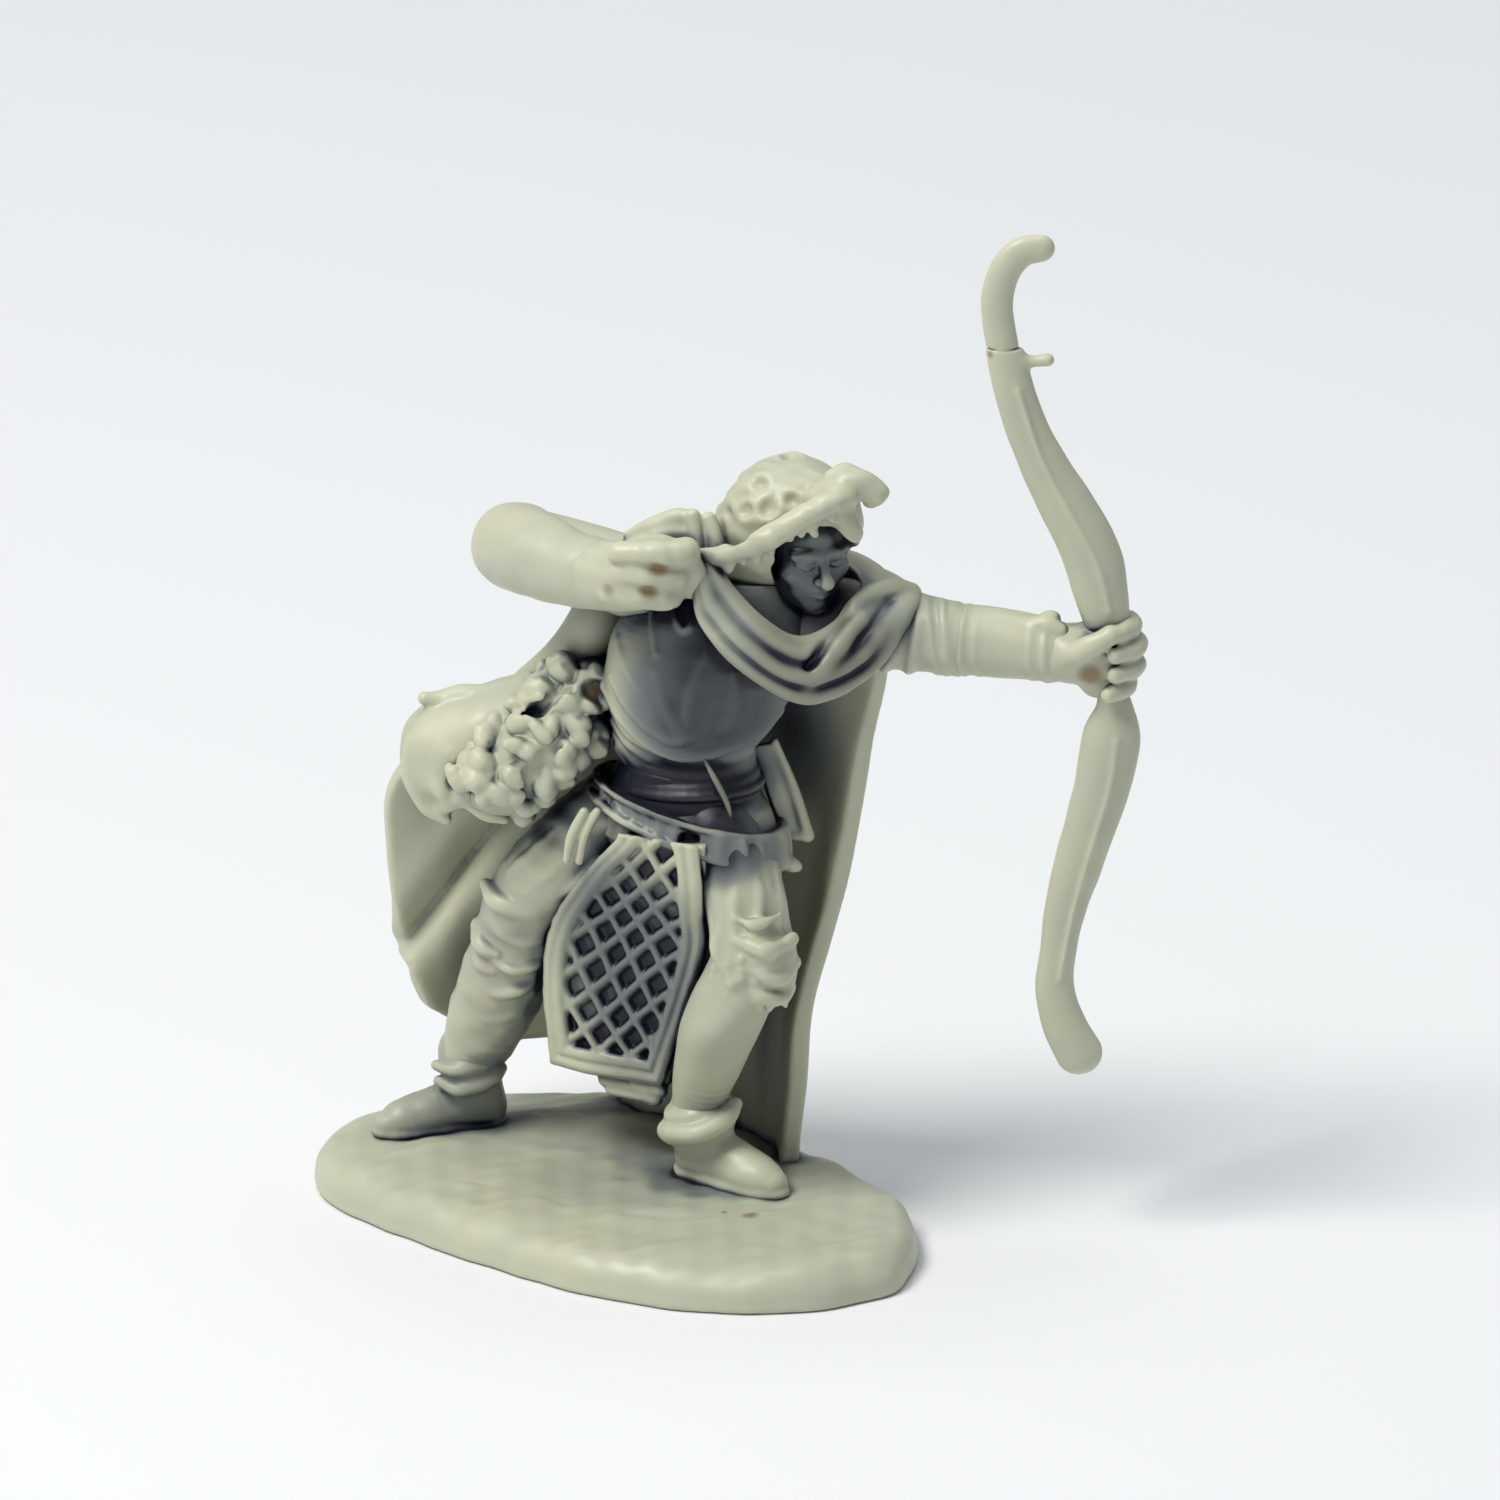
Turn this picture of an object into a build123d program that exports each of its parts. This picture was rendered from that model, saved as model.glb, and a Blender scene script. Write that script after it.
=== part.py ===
"""A hooded archer for tabletop games, cast in soft plastic: one file per glued casting or laid-on detail.

+X is the way the archer aims, +Z is up, and the front of the chest faces -Y. The origin is on the flat
underside of the base, at its middle. Millimetres.
"""

import os
from math import cos, radians, sin

from build123d import *

# Driving dimensions of the base
BASE_RIGHT, BASE_LEFT = 12.35, -12.5
BASE_BACK, BASE_FRONT = 11.2, -11.1
GROUND = 1.8  # height of the base's top, where the soles stand
BASE_EDGE_ROUND = 0.8

# Glue pegs under the feet and the cloak, at the neck and in the bow's tip
PEG_RADIUS = 0.5
THIN_PEG_RADIUS = 0.3
PEG_LENGTH = 1.0
PEG_GAP = 0.05  # clearance all round a peg in its socket

# Thicknesses of what is laid on the body
PLATE_THICK = 0.45
SASH_THICK = 0.5
TABARD_THICK = 0.8
FLAP_THICK = 0.6
CLOAK_THICK = 0.9

# Landmarks of the pose
LEFT_HEEL, LEFT_TOE = Vector(3.0, 1.2, GROUND), Vector(6.5, -1.9, GROUND)
LEFT_ANKLE, LEFT_KNEE, LEFT_HIP = Vector(3.7, 0.2, 4.6), Vector(5.8, -2.2, 12.2), Vector(4.0, 0.6, 17.2)
RIGHT_HEEL, RIGHT_TOE = Vector(-5.0, 6.6, GROUND), Vector(-9.5, 5.2, GROUND)
RIGHT_ANKLE, RIGHT_KNEE, RIGHT_HIP = Vector(-6.1, 6.2, 4.4), Vector(-4.0, 4.8, 12.0), Vector(0.4, 3.2, 17.2)
PELVIS, WAIST, CHEST = Vector(2.5, 1.9, 17.4), Vector(3.1, 1.8, 19.8), Vector(3.9, 1.3, 24.0)
NECK, HEAD = Vector(6.3, 1.0, 27.2), Vector(8.1, -0.2, 29.8)
LEFT_SHOULDER, LEFT_WRIST = Vector(8.6, 1.0, 26.0), Vector(18.6, -1.3, 25.6)
BRACER_START = Vector(14.2, -0.45, 25.8)
GRIP = Vector(20.6, -1.6, 25.6)
RIGHT_SHOULDER, RIGHT_ELBOW = Vector(1.4, 1.8, 27.4), Vector(-3.9, 3.1, 28.5)
RIGHT_WRIST, RIGHT_HAND = Vector(-0.3, -1.4, 28.85), Vector(1.5, -2.3, 29.2)
UP = Vector(0, 0, 1)
AIM = Vector(1, 0, 0)
PELVIS_TURN = -30  # degrees that the hips turn away from the aim
HIP_SIDE = Vector(cos(radians(PELVIS_TURN)), sin(radians(PELVIS_TURN)), 0)
HIP_FRONT = Vector(sin(radians(PELVIS_TURN)), -cos(radians(PELVIS_TURN)), 0)

# The bow
BOW_DEPTH = 0.62
TIP_SEAM_Z = 38.9  # where the glued upper tip meets the limb


def between(a, b, share):
    """The point at that share of the way from a to b."""
    return a + (b - a) * share


def section(origin, along, side, wide, deep):
    """An elliptical face through origin, normal to along, with its first axis as near to side as it can be."""
    along = Vector(along).normalized()
    across = Vector(side) - along * Vector(side).dot(along)
    with BuildSketch(Plane(origin=origin, x_dir=across, z_dir=along)) as face:
        Ellipse(wide, deep)
    return face.sketch


def run_sections(side, *stations):
    """Faces for a loft, each normal to the run through it. A station is (point, half width, half depth)."""
    points = [Vector(point) for point, _, _ in stations]
    faces = []
    for i, (_, wide, deep) in enumerate(stations):
        run = points[min(i + 1, len(points) - 1)] - points[max(i - 1, 0)]
        faces.append(section(points[i], run, side, wide, deep))
    return faces


def level_sections(side, *stations):
    """Faces for a loft whose planes all lie level."""
    return [section(point, UP, side, wide, deep) for point, wide, deep in stations]


def capsule(start, end, radius):
    """A round-ended rod, made as a part of its own."""
    along = end - start
    side = UP.cross(along) + AIM * 0.01
    with BuildPart(mode=Mode.PRIVATE) as rod:
        loft(sections=[section(point, along, side, radius, radius) for point in (start, end)])
        with Locations(start, end):
            Sphere(radius)
    return rod.part


# ---------------------------------------------------------------- base

BASE_OUTLINE = [
    (BASE_RIGHT, -2.5),
    (9.6, 2.6),
    (5.2, 7.8),
    (-0.5, BASE_BACK),
    (-7.0, 10.6),
    (-11.5, 7.6),
    (BASE_LEFT, 3.3),
    (-10.1, -0.9),
    (-5.0, -5.9),
    (0.1, -9.6),
    (6.2, BASE_FRONT),
    (11.5, -8.7),
]
LEFT_PEG_AT = between(LEFT_HEEL, LEFT_TOE, 0.35)
RIGHT_PEG_AT = between(RIGHT_HEEL, RIGHT_TOE, 0.35)
HEM_PEG_AT = Vector(4.85, 7.75, GROUND)

with BuildPart() as base:
    with BuildSketch():
        with BuildLine():
            Spline(*BASE_OUTLINE, periodic=True)
        make_face()
    extrude(amount=GROUND)
    fillet(base.faces().sort_by(Axis.Z)[-1].edges(), BASE_EDGE_ROUND)
    with Locations(LEFT_PEG_AT, RIGHT_PEG_AT):
        Hole(PEG_RADIUS + PEG_GAP, depth=PEG_LENGTH + PEG_GAP)
    with Locations(HEM_PEG_AT):
        Hole(THIN_PEG_RADIUS + PEG_GAP, depth=PEG_LENGTH + PEG_GAP)

# ---------------------------------------------------------------- boots

CUFF_RADIUS = 1.75
BOOT_TOP_RISE = 0.9  # above the ankle
FOOT_STATIONS = [  # share of the way from heel to toe, half width, height
    (-0.06, 0.35, 0.4),
    (0.08, 0.95, 1.35),
    (0.38, 1.15, 1.5),
    (0.72, 1.25, 1.05),
    (0.95, 0.9, 0.7),
    (1.06, 0.3, 0.3),
]


def boot_foot(heel, toe):
    """Faces of a soft boot's foot from heel to toe. They reach below the ground, where the sole is cut flat."""
    side = (toe - heel).cross(UP)
    return [
        section(between(heel, toe, share) + UP * 0.45 * tall, toe - heel, side, wide, tall)
        for share, wide, tall in FOOT_STATIONS
    ]


def boot_shaft(heel, toe, ankle):
    """Faces of a boot's shaft, from inside the foot to the top of its rolled cuff."""
    root = between(heel, toe, 0.22) + UP * 0.9
    top = ankle + UP * BOOT_TOP_RISE
    return level_sections(
        AIM,
        (root, 1.0, 1.0),
        (between(root, top, 0.4), 1.25, 1.25),
        (ankle, CUFF_RADIUS, CUFF_RADIUS - 0.1),
        (top, 1.35, 1.35),
    )


with BuildPart() as left_boot:
    loft(sections=boot_foot(LEFT_HEEL, LEFT_TOE))
    loft(sections=boot_shaft(LEFT_HEEL, LEFT_TOE, LEFT_ANKLE))
    split(bisect_by=Plane.XY.offset(GROUND), keep=Keep.TOP)
    with Locations(LEFT_PEG_AT):
        Cylinder(PEG_RADIUS, PEG_LENGTH, align=(Align.CENTER, Align.CENTER, Align.MAX))

with BuildPart() as right_boot:
    loft(sections=boot_foot(RIGHT_HEEL, RIGHT_TOE))
    loft(sections=boot_shaft(RIGHT_HEEL, RIGHT_TOE, RIGHT_ANKLE))
    split(bisect_by=Plane.XY.offset(GROUND), keep=Keep.TOP)
    with Locations(RIGHT_PEG_AT):
        Cylinder(PEG_RADIUS, PEG_LENGTH, align=(Align.CENTER, Align.CENTER, Align.MAX))

# ---------------------------------------------------------------- hips and legs

with BuildPart() as hips:
    loft(
        sections=level_sections(
            HIP_SIDE,
            (PELVIS - UP * 2.2, 2.3, 1.6),
            (PELVIS - UP * 0.9, 3.5, 2.4),
            (PELVIS + UP * 0.5, 3.5, 2.5),
            (WAIST - UP * 0.4, 3.1, 2.2),
        )
    )


def leg_sections(ankle, knee, hip):
    """Faces of a breeched leg, from the boot's top to inside the hips."""
    start = ankle + UP * BOOT_TOP_RISE
    return [
        section(start, UP, AIM, 1.15, 1.15),
        section(between(start, knee, 0.5), knee - ankle, AIM, 1.6, 1.5),
        section(between(start, knee, 0.93), knee - ankle, AIM, 1.65, 1.6),
        section(between(knee, hip, 0.12), hip - ankle, AIM, 1.8, 1.7),
        section(between(knee, hip, 0.5), hip - knee, AIM, 2.0, 1.9),
        section(between(knee, hip, 0.85), hip - knee, AIM, 1.9, 1.8),
    ]


with BuildPart() as left_leg:
    loft(sections=leg_sections(LEFT_ANKLE, LEFT_KNEE, LEFT_HIP))
    add(hips.part, mode=Mode.SUBTRACT)
    add(left_boot.part, mode=Mode.SUBTRACT)

with BuildPart() as right_leg:
    loft(sections=leg_sections(RIGHT_ANKLE, RIGHT_KNEE, RIGHT_HIP))
    add(hips.part, mode=Mode.SUBTRACT)
    add(right_boot.part, mode=Mode.SUBTRACT)

# ---------------------------------------------------------------- torso and breastplate

TORSO_STATIONS = [
    (WAIST - UP * 0.4, 3.1, 2.2),
    (between(WAIST, CHEST, 0.4), 3.5, 2.5),
    (CHEST, 3.9, 2.8),
    (Vector(4.6, 1.3, 26.3), 3.8, 2.4),
    (Vector(5.4, 1.2, 27.6), 2.3, 1.8),
    (Vector(6.2, 1.0, 28.3), 1.2, 1.2),
]
NECK_PEG_AT = Vector(6.2, 1.0, 28.3)

with BuildPart() as torso:
    loft(sections=level_sections(AIM, *TORSO_STATIONS))
    with Locations(NECK_PEG_AT):
        Cylinder(PEG_RADIUS, PEG_LENGTH, align=(Align.CENTER, Align.CENTER, Align.MIN))

PLATE_EDGE = [(-1.0, 23.6), (0.6, 22.1), (1.7, 20.8), (2.9, 20.3), (4.0, 20.5), (5.5, 21.1), (6.6, 22.0), (8.5, 23.6)]
PLATE_TOP = 27.0

with BuildPart() as breastplate:
    loft(
        sections=level_sections(
            AIM,
            *[(point, wide + PLATE_THICK, deep + PLATE_THICK) for point, wide, deep in TORSO_STATIONS[:5]],
        )
    )
    with BuildSketch(Plane.XZ.offset(-CHEST.Y)):
        with BuildLine():
            Spline(*PLATE_EDGE)
            Polyline(PLATE_EDGE[-1], (8.5, PLATE_TOP), (-1.0, PLATE_TOP), PLATE_EDGE[0])
        make_face()
    extrude(amount=6, mode=Mode.INTERSECT)
    add(torso.part, mode=Mode.SUBTRACT)

# ---------------------------------------------------------------- sash, skirt, scale tabard and side flap

SASH_LOW, SASH_HIGH = -2.9, 0.7  # from the waist

with BuildPart() as waist_sash:
    loft(
        sections=level_sections(
            HIP_SIDE,
            (WAIST + UP * SASH_LOW, 3.4 + SASH_THICK, 2.5 + SASH_THICK),
            (WAIST - UP * 0.3, 3.2 + SASH_THICK, 2.3 + SASH_THICK),
            (WAIST + UP * SASH_HIGH, 3.1 + SASH_THICK, 2.2 + SASH_THICK),
        )
    )
    for worn_over in (hips, torso, breastplate):
        add(worn_over.part, mode=Mode.SUBTRACT)

SKIRT_LOW, SKIRT_HIGH = Vector(3.1, 1.75, 15.0), Vector(3.1, 1.85, 19.6)
SKIRT_OUTLINE = [(-4.0, 19.3), (9.5, 16.6), (9.5, 14.9), (-4.0, 18.95)]  # seen from the front, tilted as it's worn

with BuildPart() as tunic_skirt:
    loft(
        sections=level_sections(
            HIP_SIDE,
            (SKIRT_LOW, 4.6, 3.5),
            (between(SKIRT_LOW, SKIRT_HIGH, 0.5), 4.45, 3.4),
            (SKIRT_HIGH, 4.1, 3.1),
        )
    )
    with BuildSketch(Plane.XZ):
        with BuildLine():
            Polyline(*SKIRT_OUTLINE, close=True)
        make_face()
    extrude(amount=8, both=True, mode=Mode.INTERSECT)
    for worn_over in (hips, left_leg, right_leg, waist_sash):
        add(worn_over.part, mode=Mode.SUBTRACT)

SCALE_PITCH, SCALE_RADIUS, SCALE_DEEP = 1.2, 0.85, 0.26
SCALE_ROWS = 7
FIRST_SCALE_ROW, LAST_SCALE_ROW = 6.6, 15.0  # heights
TABARD_STATIONS = [  # centre, half width
    (Vector(-0.25, 2.4, 4.9), 2.2),
    (Vector(-0.1, 2.15, 7.0), 3.0),
    (Vector(0.1, 1.9, 8.6), 3.4),
    (Vector(0.5, 1.3, 11.2), 3.6),
    (Vector(1.0, 0.3, 13.6), 3.2),
    (Vector(1.4, -0.5, 15.4), 2.65),
    (Vector(1.7, -0.55, 17.7), 1.9),
]


def tabard_slice(centre, half_width):
    """A level rectangle of the panel."""
    with BuildSketch(Plane(origin=centre, x_dir=HIP_SIDE, z_dir=UP)) as slice_face:
        Rectangle(2 * half_width, TABARD_THICK)
    return slice_face.sketch


def tabard_middle(height):
    """The middle of the panel at that height."""
    above = next(i for i, (centre, _) in enumerate(TABARD_STATIONS) if centre.Z >= height)
    low, high = TABARD_STATIONS[above - 1][0], TABARD_STATIONS[above][0]
    return between(low, high, (height - low.Z) / (high.Z - low.Z))


def scale_centres():
    """Centres of the balls that press the scale lattice into the panel's front, in staggered rows."""
    centres = []
    for row in range(SCALE_ROWS):
        height = FIRST_SCALE_ROW + (LAST_SCALE_ROW - FIRST_SCALE_ROW) * row / (SCALE_ROWS - 1)
        front = tabard_middle(height) + HIP_FRONT * (TABARD_THICK / 2 + SCALE_RADIUS - SCALE_DEEP)
        columns = 5 if row % 2 else 4
        for column in range(columns):
            centres.append(front + HIP_SIDE * SCALE_PITCH * (column - (columns - 1) / 2))
    return centres


with BuildPart() as scale_tabard:
    loft(sections=[tabard_slice(centre, half_width) for centre, half_width in TABARD_STATIONS])
    with Locations(*scale_centres()):
        Sphere(SCALE_RADIUS, mode=Mode.SUBTRACT)
    for worn_over in (hips, left_leg, right_leg, waist_sash, tunic_skirt):
        add(worn_over.part, mode=Mode.SUBTRACT)

with BuildPart() as side_flap:
    with BuildSketch(Plane(origin=(6.6, 1.6, 0), x_dir=(0.95, 0.3, 0), z_dir=(0.3, -0.95, 0))):
        with BuildLine():
            Polyline((-0.4, 20.4), (0.1, 20.4), (1.5, 16.3), (0.2, 16.1), close=True)
        make_face()
    extrude(amount=FLAP_THICK / 2, both=True)
    for worn_over in (hips, torso, waist_sash, tunic_skirt, breastplate):
        add(worn_over.part, mode=Mode.SUBTRACT)

# ---------------------------------------------------------------- head and hood

HEAD_TILT = Vector(0.12, 0.1, 1)
FACE_WAY = Vector(0.45, -1, -0.12)
FACE_OPENING = [  # distance from the middle of the head along the face's way, half width, half height
    (0.6, 1.3, 1.5),
    (1.8, 1.75, 2.0),
    (4.5, 2.3, 2.5),
]

with BuildPart() as head:
    loft(
        sections=[
            section(NECK + Vector(0, 0, 0.3), HEAD_TILT, AIM, 1.1, 1.1),
            section(NECK + Vector(0.9, -0.5, 1.0), HEAD_TILT, AIM, 1.4, 1.4),
            section(HEAD + Vector(0.1, -0.1, -0.9), HEAD_TILT, AIM, 1.8, 1.9),
            section(HEAD, HEAD_TILT, AIM, 2.0, 2.2),
            section(HEAD + Vector(0, 0.1, 1.4), HEAD_TILT, AIM, 1.9, 2.0),
            section(HEAD + Vector(0, 0.1, 2.6), HEAD_TILT, AIM, 0.9, 1.0),
        ]
    )
    loft(
        sections=run_sections(
            AIM,
            (HEAD + Vector(0.8, -1.85, 0.75), 0.16, 0.22),
            (HEAD + Vector(0.95, -2.25, 0.1), 0.3, 0.34),
            (HEAD + Vector(0.9, -2.1, -0.25), 0.34, 0.2),
        )
    )
    add(torso.part, mode=Mode.SUBTRACT)
    with Locations(NECK_PEG_AT):
        Cylinder(
            PEG_RADIUS + PEG_GAP,
            PEG_LENGTH + PEG_GAP,
            align=(Align.CENTER, Align.CENTER, Align.MIN),
            mode=Mode.SUBTRACT,
        )

with BuildPart() as hood:
    loft(
        sections=[
            section(HEAD + Vector(-1.6, 1.1, -2.0), HEAD_TILT, AIM, 1.9, 1.8),
            section(HEAD + Vector(-0.8, 0.6, -0.2), HEAD_TILT, AIM, 3.0, 2.8),
            section(HEAD + Vector(-0.4, 0.3, 1.6), HEAD_TILT, AIM, 3.1, 2.8),
            section(HEAD + Vector(-0.6, 0.3, 3.1), HEAD_TILT, AIM, 2.2, 1.9),
            section(HEAD + Vector(-0.7, 0.3, 3.8), HEAD_TILT, AIM, 0.9, 0.9),
        ]
    )
    loft(
        sections=run_sections(
            UP,
            (HEAD + Vector(1.0, -0.9, 1.9), 1.0, 1.2),
            (HEAD + Vector(2.2, -1.1, 2.5), 0.85, 0.9),
            (HEAD + Vector(3.2, -1.2, 2.8), 0.6, 0.6),
        )
    )
    loft(
        sections=[
            section(HEAD + FACE_WAY.normalized() * out, FACE_WAY, AIM, wide, tall)
            for out, wide, tall in FACE_OPENING
        ],
        mode=Mode.SUBTRACT,
    )
    add(head.part, mode=Mode.SUBTRACT)
    add(torso.part, mode=Mode.SUBTRACT)

# ---------------------------------------------------------------- the bow


def stave(*stations):
    """Faces along the bow. A station is (x, z, half width)."""
    return run_sections(AIM, *[((x, GRIP.Y, z), wide, BOW_DEPTH) for x, z, wide in stations])


TIP_PEG_AT = Vector(16.0, GRIP.Y, TIP_SEAM_Z)
NUB_START, NUB_END = Vector(16.4, GRIP.Y, 38.35), Vector(17.8, GRIP.Y, 38.3)
NUB_RADIUS = 0.25  # a stub of the casting's runner, left on the limb

with BuildPart() as bow_upper_limb:
    loft(
        sections=stave(
            (20.6, 25.6, 0.6),
            (20.6, 26.3, 0.65),
            (20.3, 27.8, 1.0),
            (19.6, 30.0, 1.22),
            (18.2, 32.8, 1.08),
            (16.9, 35.6, 0.88),
            (16.35, 37.3, 0.84),
            (16.0, TIP_SEAM_Z, 0.78),
        )
    )
    add(capsule(NUB_START, NUB_END, NUB_RADIUS))
    with Locations(TIP_PEG_AT):
        Cylinder(THIN_PEG_RADIUS + PEG_GAP, 2 * (PEG_LENGTH + PEG_GAP), mode=Mode.SUBTRACT)

with BuildPart() as bow_upper_tip:
    loft(
        sections=stave(
            (16.0, TIP_SEAM_Z, 0.72),
            (15.75, 40.8, 0.66),
            (16.05, 42.3, 0.66),
            (16.8, 43.15, 0.62),
            (18.0, 43.3, 0.35),
        )
    )
    add(bow_upper_limb.part, mode=Mode.SUBTRACT)
    with Locations(TIP_PEG_AT + UP * 0.2):
        Cylinder(THIN_PEG_RADIUS, PEG_LENGTH + 0.2, align=(Align.CENTER, Align.CENTER, Align.MAX))

with BuildPart() as bow_lower_limb:
    loft(
        sections=stave(
            (20.6, 25.6, 0.6),
            (20.6, 24.6, 0.6),
            (20.6, 23.5, 0.68),
            (20.5, 22.0, 1.14),
            (20.1, 19.7, 1.17),
            (19.1, 16.2, 1.0),
            (18.35, 12.7, 0.77),
            (18.2, 10.8, 0.82),
            (18.6, 9.2, 0.92),
            (19.1, 8.1, 0.9),
            (19.7, 7.1, 0.4),
        )
    )
    add(bow_upper_limb.part, mode=Mode.SUBTRACT)

# ---------------------------------------------------------------- the arm that holds the bow

FINGER_RADIUS, FINGER_PITCH, FINGER_REACH = 0.46, 0.82, 0.75

with BuildPart() as bow_arm:
    loft(
        sections=run_sections(
            UP,
            (LEFT_SHOULDER, 1.9, 1.8),
            (between(LEFT_SHOULDER, BRACER_START, 0.5), 1.9, 1.7),
            (BRACER_START, 1.65, 1.55),
        )
    )
    for neighbour in (torso, breastplate, hood):
        add(neighbour.part, mode=Mode.SUBTRACT)

with BuildPart() as bow_bracer:
    loft(
        sections=run_sections(
            UP,
            (BRACER_START, 1.78, 1.65),
            (between(BRACER_START, LEFT_WRIST, 0.5), 1.6, 1.45),
            (LEFT_WRIST, 1.45, 1.25),
        )
    )
    add(bow_arm.part, mode=Mode.SUBTRACT)

with BuildPart() as bow_hand:
    loft(
        sections=run_sections(
            UP,
            (LEFT_WRIST, 1.3, 1.1),
            (between(LEFT_WRIST, GRIP, 0.55), 1.5, 1.2),
            (GRIP + Vector(0.5, 0.1, 0), 1.6, 1.3),
            (GRIP + Vector(1.0, 0.1, -0.1), 1.2, 0.9),
        )
    )
    for finger in range(4):
        knuckle = GRIP + Vector(1.05, 0, FINGER_PITCH * (finger - 1.5) - 0.1)
        reach = Vector(0, FINGER_REACH, 0)
        add(capsule(knuckle - reach, knuckle + reach, FINGER_RADIUS))
    add(capsule(LEFT_WRIST + Vector(0.4, -0.5, 1.0), GRIP + Vector(-0.6, -0.9, 1.1), 0.5))
    for held in (bow_upper_limb, bow_lower_limb, bow_bracer):
        add(held.part, mode=Mode.SUBTRACT)

# ---------------------------------------------------------------- the arm that draws

with BuildPart() as draw_upper_arm:
    loft(
        sections=run_sections(
            UP,
            (RIGHT_SHOULDER, 1.7, 1.6),
            (between(RIGHT_SHOULDER, RIGHT_ELBOW, 0.5), 1.6, 1.5),
            (RIGHT_ELBOW, 1.8, 1.6),
            (RIGHT_ELBOW + Vector(-1.1, 0.1, 0.1), 0.8, 0.8),
        )
    )
    for neighbour in (torso, breastplate):
        add(neighbour.part, mode=Mode.SUBTRACT)

with BuildPart() as draw_forearm:
    loft(
        sections=run_sections(
            UP,
            (RIGHT_ELBOW + Vector(-0.3, 0.1, 0.1), 1.6, 1.4),
            (between(RIGHT_ELBOW, RIGHT_WRIST, 0.4), 1.8, 1.5),
            (RIGHT_WRIST, 1.3, 1.2),
        )
    )
    for neighbour in (draw_upper_arm, torso, breastplate):
        add(neighbour.part, mode=Mode.SUBTRACT)

with BuildPart() as draw_hand:
    loft(
        sections=run_sections(
            UP,
            (RIGHT_WRIST, 1.2, 1.1),
            (between(RIGHT_WRIST, RIGHT_HAND, 0.5), 1.6, 1.1),
            (RIGHT_HAND, 1.5, 0.9),
        )
    )
    for finger in range(3):
        knuckle = RIGHT_HAND + Vector(-0.25 * finger, -0.45 + 0.1 * finger, 0.95 - 0.95 * finger)
        add(capsule(knuckle, knuckle + Vector(1.5, 0.1, -0.1), 0.52))
    for neighbour in (draw_forearm, draw_upper_arm, torso, breastplate):
        add(neighbour.part, mode=Mode.SUBTRACT)

# ---------------------------------------------------------------- the cowl round the neck

COWL_RUN = [  # middle of the draped roll, half its height, half its thickness
    ((3.9, -1.5, 29.2), 0.5, 0.5),
    ((4.6, -2.1, 27.4), 1.2, 0.7),
    ((6.3, -2.4, 25.6), 1.4, 0.8),
    ((8.3, -2.2, 25.2), 1.4, 0.8),
    ((10.3, -1.4, 26.2), 1.3, 0.8),
    ((11.5, 0.2, 27.3), 1.1, 0.9),
    ((10.8, 2.2, 27.9), 1.1, 0.8),
    ((8.2, 3.3, 28.0), 1.2, 0.8),
    ((5.0, 3.0, 28.4), 1.2, 0.8),
    ((3.0, 2.0, 28.5), 1.2, 1.0),
    ((1.5, 1.2, 28.5), 0.9, 0.9),
]

with BuildPart() as cowl:
    loft(sections=run_sections(UP, *COWL_RUN))
    for neighbour in (torso, breastplate, bow_arm, head, hood, draw_upper_arm, draw_hand, draw_forearm):
        add(neighbour.part, mode=Mode.SUBTRACT)

# ---------------------------------------------------------------- cloak

CLOAK_ROWS = [  # height, and the inner line from the archer's left edge to the right one
    (GROUND, [(7.2, 1.8), (6.8, 4.8), (4.6, 7.4), (1.6, 8.3), (-2.0, 9.0), (-6.0, 9.0)]),
    (9.0, [(8.1, 1.6), (7.6, 5.2), (4.4, 7.5), (-0.2, 8.6), (-4.8, 9.2), (-9.0, 8.5)]),
    (13.5, [(8.95, 1.6), (8.1, 4.8), (4.6, 6.9), (0.0, 7.9), (-5.0, 8.8), (-9.5, 8.0)]),
    (17.0, [(9.85, 1.7), (8.6, 4.6), (4.9, 6.3), (0.6, 7.0), (-4.4, 8.1), (-8.8, 7.5)]),
    (20.5, [(10.6, 1.8), (8.9, 4.2), (5.3, 5.4), (1.6, 5.8), (-2.4, 6.5), (-5.6, 6.6)]),
    (24.0, [(10.9, 1.9), (8.9, 3.5), (6.0, 4.0), (3.4, 4.1), (0.7, 4.1), (-1.9, 4.6)]),
    (27.0, [(10.2, 1.8), (8.7, 2.6), (6.7, 3.0), (4.7, 3.0), (2.6, 3.0), (0.6, 3.2)]),
]
HEM_CUT = [
    (0.5, GROUND),
    (-0.2, 3.0),
    (-0.8, 3.9),
    (-2.7, 4.8),
    (-6.6, 5.4),
    (-9.6, 7.6),
    (-14.0, 9.5),
    (-14.0, GROUND),
]


def cloak_slice(height, inner):
    """A level slice of the cloak, as thick as CLOAK_THICK outside its inner line."""
    line = Spline(*[(x, y, 0) for x, y in inner])
    steps = [i / (len(inner) - 1) for i in range(len(inner))]
    inside, outside = [], []
    for step in steps:
        point, tangent = line.position_at(step), line.tangent_at(step)
        inside.append((point.X, point.Y))
        outside.append((point.X + tangent.Y * CLOAK_THICK, point.Y - tangent.X * CLOAK_THICK))
    with BuildSketch(Plane.XY.offset(height)) as slice_face:
        with BuildLine():
            Spline(*inside)
            Spline(*outside)
            Line(inside[0], outside[0])
            Line(inside[-1], outside[-1])
        make_face()
    return slice_face.sketch


CLOAK_SLICES = [cloak_slice(height, inner) for height, inner in CLOAK_ROWS]

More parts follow.
